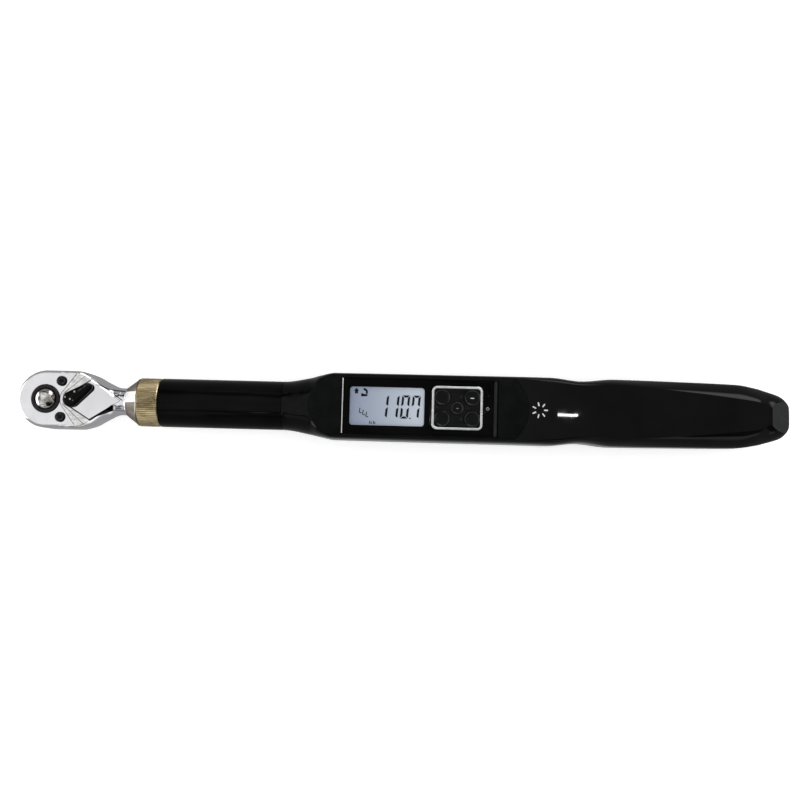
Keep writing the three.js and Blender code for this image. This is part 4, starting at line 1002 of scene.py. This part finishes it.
def tube():
    start = COLLAR_END + 0.3
    body = turned("tube", [
        (10.8, start), (TUBE_RADIUS - 0.5, start),
        (TUBE_RADIUS - 0.15, start + 0.15), (TUBE_RADIUS, start + 0.5),
        (TUBE_RADIUS, BODY_START - 0.3), (TUBE_RADIUS - 0.1, BODY_START - 0.2), (12.6, BODY_START - 0.2),
        (12.6, 157), (10.8, 157),
    ], axis="x", sides=128)
    return finish(body, TUBE_BLACK, ["tube"])


# ---------- handle shells ----------

BODY = stations(
    (136.5, 14.25, 14.25, 14.25, 0.4, 0.4, 0.2, 0),
    (151.6, 16.4, 17.2, 16.2, 2.5, 5, 2, 0),
    (158.5, 17.8, 17.2, 16.9, 13.4, 8.5, 6, 0),
    (167, 19.1, 17.2, 17.4, 17.5, 11, 10, 0),
    (274, 19.5, 17.2, 17.4, 17.5, 11, 10, 0),
    (291, 19.6, 17.2, 17.4, 16.2, 11, 9, 0),
    (309, 17.9, 17.1, 16, 15, 10, 8.5, 0.1),
    (328, 19.5, 17, 17.4, 15.6, 11, 8.5, 0.4),
    (365, 19.1, 16.9, 17.4, 13, 11, 8, 0.5),
    (400, 18.5, 16.4, 17, 9.4, 10, 6, 0.5),
    (411, 16.9, 16, 16, 7.8, 8.5, 5, 0.5),
    (418.4, 15, 15.6, 14.6, 4.6, 7, 4.2, 0.4),
    (426, 12.5, 12.6, 11.2, 4.6, 5.5, 3.4, 0.2),
    (429.3, 10, 10.2, 8.8, 4, 4.6, 2.8, 0.1),
    (430.7, 7.7, 8.2, 7, 3.4, 3.8, 2.4, 0),
    (431.2, 5.6, 6.2, 5.4, 3, 3, 2, 0),
)
BEVEL_START = 418.4
BEVEL_TOP = 15.2
BEVEL_SLOPE = 0.656


def end_bevel():
    """The space above the slanted facet at the handle's end."""
    reach, before, roof = 20, 2, 22
    profile = [
        (BEVEL_START, BEVEL_TOP), (BEVEL_START + reach, BEVEL_TOP - BEVEL_SLOPE * reach),
        (BEVEL_START + reach, roof), (BEVEL_START - before, roof),
        (BEVEL_START - before, BEVEL_TOP + BEVEL_SLOPE * before),
    ]
    return loft("end_bevel", [[(x, y, h) for x, h in profile] for y in (-20, 20)])


def body_places():
    """Where the handle's sections stand: closer together where it curves."""
    stretches = [(BODY_START, 168, 1.2), (168, 272, 8), (272, 424, 2), (424, 429, 1), (429, BODY_END, 0.2)]
    places = [BODY_START]
    for stretch in stretches:
        places += spread(*stretch)[1:]
    return places


def body_skin(name):
    skin = loft(name, [section_ring(BODY, x, 14) for x in body_places()], 20)
    return carve(skin, end_bevel())


def body_cavity():
    rings = []
    for x in spread(156, 422, 12):
        ring = section_ring(BODY, x, 6, 2.4)
        rings.append([(px, py, min(ph, 11.0)) for px, py, ph in ring])
    return loft("cavity", rings)


def half_space(name, sign):
    low, high = (0.06, 40) if sign > 0 else (-40, -0.06)
    return prism(name, rectangle(100, 460, -40, 40), low, high)


def cover_outline(margin):
    """Two straight sides with a wide arc at each end."""
    outline = []
    for apex, radius, facing in ((COVER_REAR, COVER_REAR_RADIUS, 0), (COVER_FRONT, COVER_FRONT_RADIUS, 180)):
        centre = apex + (radius if facing else -radius)
        half_angle = math.degrees(math.asin((COVER_HALF - margin) / (radius - margin)))
        outline += arc(centre, 0, radius - margin, facing - half_angle, facing + half_angle, 28)
    return outline


SOUND_SLOTS = 7
SLOT_HALF = 0.45
SLOT_INNER = 2.3
SLOT_OUTER = 4.7


def sound_slots(name, half, h0, h1):
    """Short round-ended slots over the buzzer, spread out like rays."""
    slot = arc(SLOT_OUTER - SLOT_HALF, 0, half, -90, 90, 6) + arc(SLOT_INNER + SLOT_HALF, 0, half, 90, 270, 6)
    outlines = []
    for i in range(SOUND_SLOTS):
        turn = 2 * math.pi * i / SOUND_SLOTS
        c, s = math.cos(turn), math.sin(turn)
        outlines.append([(BUZZER_X + x * c - y * s, x * s + y * c) for x, y in slot])
    return prisms(name, outlines, h0, h1)


def sound_inserts():
    """Pale gauze set into the sound slots, just under the surface."""
    inserts = sound_slots("sound_inserts", SLOT_HALF - 0.03, DECK - 0.5, DECK - 0.12)
    return finish(inserts, GAUZE)


def mark_end_facet(shell):
    """Gives the slanted facet at the handle's end its own, duller black, lighter in tone as a painted sheen.
    """
    shell.data.materials.append(END_BLACK)
    normal = Vector((BEVEL_SLOPE, 0, 1)).normalized()
    for face in shell.data.polygons:
        if face.center.x > BEVEL_START * MM and face.normal.dot(normal) > 0.999:
            face.material_index = 1


def upper_shell():
    shell = carve(body_skin("upper_shell"), half_space("upper", 1), "INTERSECT")
    carve(shell, body_cavity())
    carve(shell, prism("cover_pocket", cover_outline(-0.12), 13.3, 30))
    carve(shell, prism("opening", rectangle(LCD_START - 1.6, KEYPAD_X + 18.9, -13.6, 13.6), 5, 14))
    carve(shell, sound_slots("slots", SLOT_HALF, 8, 20))
    shade(shell, 16)
    finish(shell, SHELL_BLACK, ["upper_shell"])
    mark_end_facet(shell)
    return shell


# Screws from below: radius and top of the boss, radius and top of the head's recess, radius of the hole,
# and the places. The first row closes the shells, the second holds the measuring beam.
SCREW_SEATS = [
    (3.6, -0.3, 3, -13.4, 1.7, [(164, 11.6), (164, -11.6), (275, 12.4), (275, -12.4), (406, 0)]),
    (4.8, -6.4, 3.7, -13.5, 2.3, [(282, 0), (294, 0)]),
]
BOSS_BOTTOM = -15.6


def lower_skin(name):
    shell = carve(body_skin(name), half_space("lower", -1), "INTERSECT")
    return carve(shell, body_cavity())


def door_outline(margin):
    return rounded_rectangle(
        DOOR_START + margin, DOOR_END - margin, -DOOR_HALF + margin, DOOR_HALF - margin, 1.2, 4
    )


def lower_shell():
    shell = lower_skin("lower_shell")
    carve(shell, prism("door_hole", door_outline(0), -20, -12))
    for boss, boss_top, recess, recess_top, hole, places in SCREW_SEATS:
        seat = [(0, -20), (recess, -20), (recess, recess_top), (hole, recess_top), (hole, 0.5), (0, 0.5)]
        for centre in places:
            carve(shell, cylinder("boss", boss, BOSS_BOTTOM, boss_top, centre, 24), "UNION")
            carve(shell, turned("seat", seat, centre=centre, sides=24))
    shade(shell, 16)
    return finish(shell, SHELL_BLACK, ["lower_shell"])


def battery_door():
    door = lower_skin("battery_door")
    carve(door, prism("door_area", door_outline(0.35), -20, -12), "INTERSECT")
    for i in range(3):
        grip = rounded_rectangle(374 + 3 * i, 375.4 + 3 * i, -6, 6, 0.65, 4)
        carve(door, prism("grip", grip, -20, -16.8))
    shade(door, 16)
    return finish(door, SHELL_BLACK, ["battery_door"], "battery_door")


# ---------- display ----------

def keypad_outline(inset, radius):
    return rounded_rectangle(
        KEYPAD_X - KEYPAD_HALF_X + inset, KEYPAD_X + KEYPAD_HALF_X - inset,
        -KEYPAD_HALF_Y + inset, KEYPAD_HALF_Y - inset, radius,
    )


def display_cover():
    cover = prism("display_cover", cover_outline(0), 13.6, DECK)
    carve(cover, prism("pocket", rectangle(LENS_START - 1.5, LENS_END + 2.8, -16.1, 16.1), 15.6, 20))
    lcd_opening = rounded_rectangle(LCD_START - 1.2, LCD_END + 1.2, -LCD_HALF - 1, LCD_HALF + 1, 1.8)
    carve(cover, prism("lcd_opening", lcd_opening, 10, 20))
    carve(cover, prism("keypad_opening", keypad_outline(-0.3, 3.2), 10, 20))
    carve(cover, cylinder("led_hole", 1.2, 10, 20, (LED_X, 0), 24))
    soften(cover, 0.22, 2)
    return finish(cover, MATTE_BLACK, ["display_cover"])


def window_lens():
    area = rectangle(LENS_START, LENS_END, -LENS_HALF, LENS_HALF)
    lens = prism("window_lens", area, LENS_BOTTOM, LENS_TOP)
    carve(lens, prism("keypad_opening", keypad_outline(-0.15, 3.1), 10, 20))
    carve(lens, prism("lcd_opening", rounded_rectangle(LCD_START, LCD_END, -LCD_HALF, LCD_HALF, 1.7), 10, 20))
    carve(lens, cylinder("led_hole", 1.15, 10, 20, (LED_X, 0), 24))
    soften(lens, 0.1, 2)
    return finish(lens, LENS_BLACK, ["window_lens"])


def window_pane():
    outline = rounded_rectangle(LCD_START + 0.05, LCD_END - 0.05, -LCD_HALF + 0.05, LCD_HALF - 0.05, 1.65)
    pane = soften(prism("window_pane", outline, 16.3, LENS_TOP - 0.02), 0.06, 1)
    return finish(pane, CLEAR)


def lcd_panel():
    outline = rounded_rectangle(LCD_START - 0.8, LCD_END + 0.8, -LCD_HALF - 0.6, LCD_HALF + 0.6, 0.6, 4)
    panel = soften(prism("lcd_panel", outline, 13.4, LCD_TOP), 0.1, 1)
    return finish(panel, LCD, ["lcd_panel"])


# The figures on the display and the segments that are dark in each.
READING = "1107"
SEGMENTS = {"0": "abcdef", "1": "bc", "7": "abcf"}
SEGMENT_GAP = 0.32
DIGIT_HEIGHT = 13.4
DIGIT_WIDTH = 4.7
DIGIT_SLANT = 0.09
DIGIT_PITCH = 6.05
STROKE = 1.3
INK_THICKNESS = 0.04


def segment_shapes():
    """Each segment as an outline in a digit's own frame, from its bottom left corner."""
    w, h, s, g = DIGIT_WIDTH, DIGIT_HEIGHT, STROKE, SEGMENT_GAP
    shapes = {
        "a": [(g, h), (w - g, h), (w - s - g, h - s), (s + g, h - s)],
        "d": [(g, 0), (w - g, 0), (w - s - g, s), (s + g, s)],
    }
    tip = s * 0.8
    for left, right, low, high in (("f", "b", h / 2 + g, h - g), ("e", "c", g, h / 2 - g)):
        bar = [(0, low), (s, low + tip), (s, high - tip), (0, high)]
        shapes[left] = bar
        shapes[right] = [(w - x, y) for x, y in bar]
    return shapes


def ink(name, shapes):
    """Flat dark shapes on the display's face, as one piece."""
    return finish(prisms(name, shapes, LCD_TOP, LCD_TOP + INK_THICKNESS), LCD_INK)


def display_digits():
    shapes = segment_shapes()
    first, middle = LCD_START + 17.2, DIGIT_HEIGHT / 2
    outlines = []
    for i, digit in enumerate(READING):
        left = first + i * DIGIT_PITCH
        for key in SEGMENTS[digit]:
            outlines.append([(left + x + (y - middle) * DIGIT_SLANT, y - middle) for x, y in shapes[key]])
    outlines.append(arc(first + 2.97 * DIGIT_PITCH - 0.55, 0.2 - middle, 0.45, 0, 330, 11))
    return ink("display_digits", outlines)


def display_symbols():
    """An arrow, a turning sign and small marks beside the reading."""
    up = [(-0.85, -1.6), (0.85, -1.6), (0.85, -0.1), (1.5, -0.1), (0, 1.7), (-1.5, -0.1), (-0.85, -0.1)]
    outlines = [[(LCD_START + 3.6 + x, 8.7 + y) for x, y in up]]
    hook_x, hook_y = LCD_START + 8.0, 8.0
    outer = arc(0, 0, 2.2, -35, 105, 10)
    inner = arc(0, 0, 1.0, 105, -35, 10)
    outlines.append([(hook_x + x, hook_y + y) for x, y in outer + inner])
    bar = [(-1.7, -2.6), (1.9, -2.3), (1.9, -1.2), (-0.3, -1.1), (-0.6, -0.7), (-1.7, -0.9)]
    outlines.append([(hook_x + x, hook_y + y) for x, y in bar])
    for i in range(3):
        x, y = LCD_START + 5.2 + i * 1.9, -3.9 - i * 1.1
        outlines.append([(x, y), (x + 0.5, y), (x + 0.95, y + 2.8), (x + 0.45, y + 2.8)])
        outlines.append(rectangle(x + 0.7, x + 1.6, y - 0.3, y + 0.3))
    for i in range(2):
        x = LCD_START + 11.4 + i * 2.1
        outlines.append(rectangle(x, x + 0.5, -10.2, -8.4))
        outlines.append(rectangle(x + 0.85, x + 1.35, -10.2, -8.9))
    return ink("display_symbols", outlines)


def front_trim():
    area = rectangle(LENS_START - 1.05, LENS_START - 0.4, -LENS_HALF, LENS_HALF)
    strip = soften(prism("window_trim_front", area, LENS_BOTTOM, DECK + 0.05), 0.12, 2)
    return finish(strip, SILVER, ["window_trim_front"])


def rear_trim():
    """A step that slopes up from the window to the cover."""
    x0, x1 = LENS_END + 0.3, LENS_END + 2.1
    profile = [(x0, LENS_BOTTOM), (x1, LENS_BOTTOM), (x1, DECK), (x1 - 0.6, DECK), (x0, 16.75)]
    step = loft("window_trim_rear", [[(x, y, h) for x, h in profile] for y in (-LENS_HALF, LENS_HALF)])
    soften(step, 0.12, 2)
    return finish(step, GREY_TRIM, ["window_trim_rear"])


# ---------- keypad ----------

KEYS = [
    ("top_left", -1, 1, 4.3),
    ("top_right", 1, 1, 4.3),
    ("bottom_left", -1, -1, 4.3),
    ("bottom_right", 1, -1, 4.3),
    ("centre", 0, 0, 3.4),
]


def key_centre(column, row):
    return KEYPAD_X + column * KEY_PITCH_X, row * KEY_PITCH_Y


def mark_ring(obj, material, centre, inner, outer, floor):
    """A second material for the faces in a ring about centre, above a level."""
    obj.data.materials.append(material)
    middle = place(*centre, 0)
    for face in obj.data.polygons:
        reach = (Vector(face.center) - middle).to_2d().length
        if inner * MM < reach < outer * MM and face.center.z > place(0, 0, floor).z:
            face.material_index = 1


def keypad_frame():
    ring = prism("keypad_frame", keypad_outline(0, 3), 14.4, DECK + 0.5)
    carve(ring, prism("inner", keypad_outline(KEYPAD_FRAME, 1.8), 13, 20))
    soften(ring, 0.3, 3)
    return finish(ring, SILVER, ["keypad_frame"])


def keypad_panel():
    panel = prism("keypad_panel", keypad_outline(KEYPAD_FRAME + 0.1, 1.7), 14.8, DECK - 0.2)
    for _, column, row, radius in KEYS:
        carve(panel, cylinder("hole", radius + 0.25, 10, 20, key_centre(column, row)))
    soften(panel, 0.12, 2)
    return finish(panel, RUBBER, ["keypad_panel"])


def key_cap(name, column, row, radius):
    """A round key with a raised rim around a shallow dish."""
    crown = DECK + 0.3
    centre = key_centre(column, row)
    cap = turned(f"button_{name}", [
        (0, 12.4), (1.6, 12.4), (1.6, 14.9), (radius, 14.9), (radius, crown - 0.35),
        (radius - 0.1, crown - 0.12), (radius - 0.25, crown), (radius - 0.4, crown - 0.06),
        (radius - 0.55, crown - 0.3), (radius - 0.8, crown - 0.42), (radius * 0.4, crown - 0.3),
        (0, crown - 0.26),
    ], centre=centre, sides=56, sharp=50)
    finish(cap, KEY_RUBBER, [f"button_{name}"], f"button_{name}")
    # The rim ring gets the painted highlight.
    mark_ring(cap, KEY_RIM_HIGHLIGHT, centre, radius - 0.42, radius - 0.08, crown - 0.2)
    return cap


def status_led():
    """A small dark lens in a bright rim."""
    led = turned("status_led", [
        (0, 13.4), (0.9, 13.4), (0.9, 16.9), (0.84, 17.02),
        (0.7, 17.02), (0.66, 16.9), (0.4, 17.0), (0, 17.05),
    ], centre=(LED_X, 0), sides=28, sharp=50)
    finish(led, LED_LENS, ["status_led"])
    mark_ring(led, SILVER, (LED_X, 0), 0.68, 1.0, 16.85)
    return led


# ---------- camera, light and floor ----------

def camera():
    """A camera almost straight above the tool, as far away as the eyes of a person at a bench."""
    distance = 595 * MM
    elevation = math.radians(85.4)
    roll = math.radians(1.45)
    target = place(204.55, 5.2, 0)
    back = Vector((0, -math.cos(elevation), math.sin(elevation)))
    data = bpy.data.cameras.new("camera")
    data.lens = 45.5
    data.sensor_width = 36
    cam = bpy.data.objects.new("camera", data)
    bpy.context.scene.collection.objects.link(cam)
    cam.rotation_mode = "QUATERNION"
    turn = back.to_track_quat("Z", "Y")
    cam.rotation_quaternion = turn @ Matrix.Rotation(roll, 3, "Z").to_quaternion()
    cam.location = target + back * distance
    bpy.context.scene.camera = cam


STREAK_PLACE = place(407, 39.5, 617)
STREAK_AIM = place(309, 0, 17)
STREAK_LENGTH = 26 * MM
STREAK_WIDTH = 2.2 * MM
STREAK_POWER = 0.05


def streak_lamp():
    """A long narrow lamp, whose reflection is the bright streak on the handle's deck."""
    data = bpy.data.lights.new("streak", "AREA")
    data.energy = STREAK_POWER
    data.shape = "RECTANGLE"
    data.size = STREAK_LENGTH
    data.size_y = STREAK_WIDTH
    lamp = bpy.data.objects.new("streak", data)
    lamp.location = STREAK_PLACE
    lamp.rotation_mode = "QUATERNION"
    back = (STREAK_PLACE - STREAK_AIM).normalized()
    up = back.cross(Vector((1, 0, 0))).normalized()
    lamp.rotation_quaternion = Matrix((up.cross(back), up, back)).transposed().to_quaternion()
    bpy.context.scene.collection.objects.link(lamp)


# The room: its light, and how bright the parts of it are that glossy surfaces reflect.
ROOM_LIGHT = 1.1
HORIZON = 0.34
DARK_RING = 0.03
BRIGHT_RING = 0.7
ZENITH = 0.5
PANEL = 0.97
PANEL_SHADE = 0.14
STRIPE = 0.03
LEFT_WALL = 3.4
# Where they lie, as parts of a direction's x, y and z: from, to, and how soft the edges are.
RING_Z = (0.36, 0.9, 0.1)
PANEL_X = (-0.68, 0.12, 0.1)
PANEL_Y = (-0.55, 0.55, 0.15)
LEFT_WALL_Z = (-0.5, 0.5, 0.08)
STRIPE_Y = (-0.6, -0.54, 0.015)
WALL_X = (0.12, 0.6, 0.05)
# Walls beyond and before the tool, from one y to another, with their brightness.
WALLS = [(0.5, 0.97, 4.0), (-0.97, -0.6, 1.3)]
WALL_EDGE = 0.04
# Round patches: their direction, half their angle in degrees, and their brightness.
SPOTS = [((0.47, -0.68, 0.5), 21, DARK_RING), ((0.3, 0.36, 0.9), 2.6, 3.0), ((-0.2, -0.62, 0.75), 2.2, 3.0)]


def reflected_room(g):
    """The brightness of the reflected room: areas with a level each, laid over the horizon's."""
    x, y, z = g.axes()
    patches = g.step(g.noise(2.6), 0.44, 0.58)

    def window(value, low, high, edge):
        rise = g.step(value, low - edge, low + edge)
        return g.calc("SUBTRACT", rise, g.step(value, high - edge, high + edge))

    def patchy(low, high):
        return g.calc("ADD", low, g.calc("MULTIPLY", patches, high - low))

    panel = g.both(window(x, *PANEL_X), window(y, *PANEL_Y), g.step(z, 0.0, 0.4))
    left = g.both(g.step(x, -0.8, -0.88), window(z, *LEFT_WALL_Z))
    stripe = g.both(window(y, *STRIPE_Y), g.step(z, 0.3, 0.5))
    layers = [
        (window(z, *RING_Z), patchy(DARK_RING, BRIGHT_RING)),
        (g.step(z, 0.85, 0.97), ZENITH),
        (panel, patchy(PANEL - PANEL_SHADE, PANEL)),
        (left, LEFT_WALL),
        (stripe, STRIPE),
    ]
    for low, high, level in WALLS:
        wall = g.both(window(x, *WALL_X), window(y, low, high, WALL_EDGE), g.step(z, -0.05, 0.12))
        layers.append((wall, level))
    for direction, size, level in SPOTS:
        reach = g.measure("DOT_PRODUCT", Vector(direction).normalized())
        edge = math.cos(math.radians(size))
        layers.append((g.step(reach, edge - (1 - edge) * 0.4, edge), level))
    value = HORIZON
    for mask, level in layers:
        change = g.calc("SUBTRACT", level, value)
        value = g.calc("ADD", value, g.calc("MULTIPLY", change, mask))
    return value


def studio_world():
    """A white room for the light, and a darker one with soft panels for what shows in gloss."""
    world = bpy.data.worlds.new("studio")
    world.use_nodes = True
    g = Graph(world.node_tree, "Generated")
    room = g.nodes["Background"]
    room.inputs["Color"].default_value = (1, 1, 1, 1)
    room.inputs["Strength"].default_value = ROOM_LIGHT
    gloss = g.nodes.new("ShaderNodeBackground")
    g.links.new(reflected_room(g), gloss.inputs["Color"])
    paths = g.nodes.new("ShaderNodeLightPath")
    mixer = g.nodes.new("ShaderNodeMixShader")
    g.links.new(paths.outputs["Is Glossy Ray"], mixer.inputs["Fac"])
    g.links.new(room.outputs["Background"], mixer.inputs[1])
    g.links.new(gloss.outputs["Background"], mixer.inputs[2])
    g.links.new(mixer.outputs["Shader"], g.nodes["World Output"].inputs["Surface"])
    bpy.context.scene.world = world


def studio_floor():
    """A white floor just below the tool, which glossy surfaces don't reflect."""
    middle = (cad_low + cad_high) / 2
    size = 6000 * MM
    floor_z = cad_low.z - 0.3 * MM
    mesh = bpy.data.meshes.new("floor")
    corners = [(middle.x + x, middle.y + y, floor_z) for x, y in rectangle(-size, size, -size, size)]
    mesh.from_pydata(corners, [], [(0, 1, 2, 3)])
    floor = bpy.data.objects.new("floor", mesh)
    f = Finish("floor_white", (0.96, 0.96, 0.96), 0.9)
    f.tint(f.noise(2, 2), (0.95, 0.95, 0.95), (0.97, 0.97, 0.97))
    f.set("Emission Color", (1, 1, 1, 1))
    f.set("Emission Strength", 0.36)
    mesh.materials.append(f.material)
    bpy.context.scene.collection.objects.link(floor)
    floor.visible_glossy = False


# ---------- the scene ----------

camera()

# CAD nodes that no piece stands for are steel, apart from these.
CAD_FINISH = {
    BLACK_OXIDE: ["buzzer"] + [f"shell_screw_{i + 1}" for i in range(5)],
    BOARD: ["circuit_board"],
    FOIL: ["strain_gauge_left", "strain_gauge_right"],
    WHITE: ["lcd_backlight"],
    CELL: ["battery_cell_left", "battery_cell_right"],
    MATTE_BLACK: ["battery_tray"],
}
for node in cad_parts.values():
    node.data.materials.clear()
    node.data.materials.append(STEEL)
for material, names in CAD_FINISH.items():
    for name in names:
        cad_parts[name].data.materials[0] = material

head_body()
cover_plate()
cover_screw("cover_screw_upper", 1)
cover_screw("cover_screw_lower", -1)
gear_bush()
release_button()
reversing_lever()
knurled_collar()
tube()
upper_shell()
sound_inserts()
lower_shell()
battery_door()
display_cover()
window_lens()
window_pane()
lcd_panel()
display_digits()
display_symbols()
front_trim()
rear_trim()
keypad_frame()
keypad_panel()
for key in KEYS:
    key_cap(*key)
status_led()
studio_world()
streak_lamp()
studio_floor()
bpy.context.scene.view_settings.view_transform = "Standard"
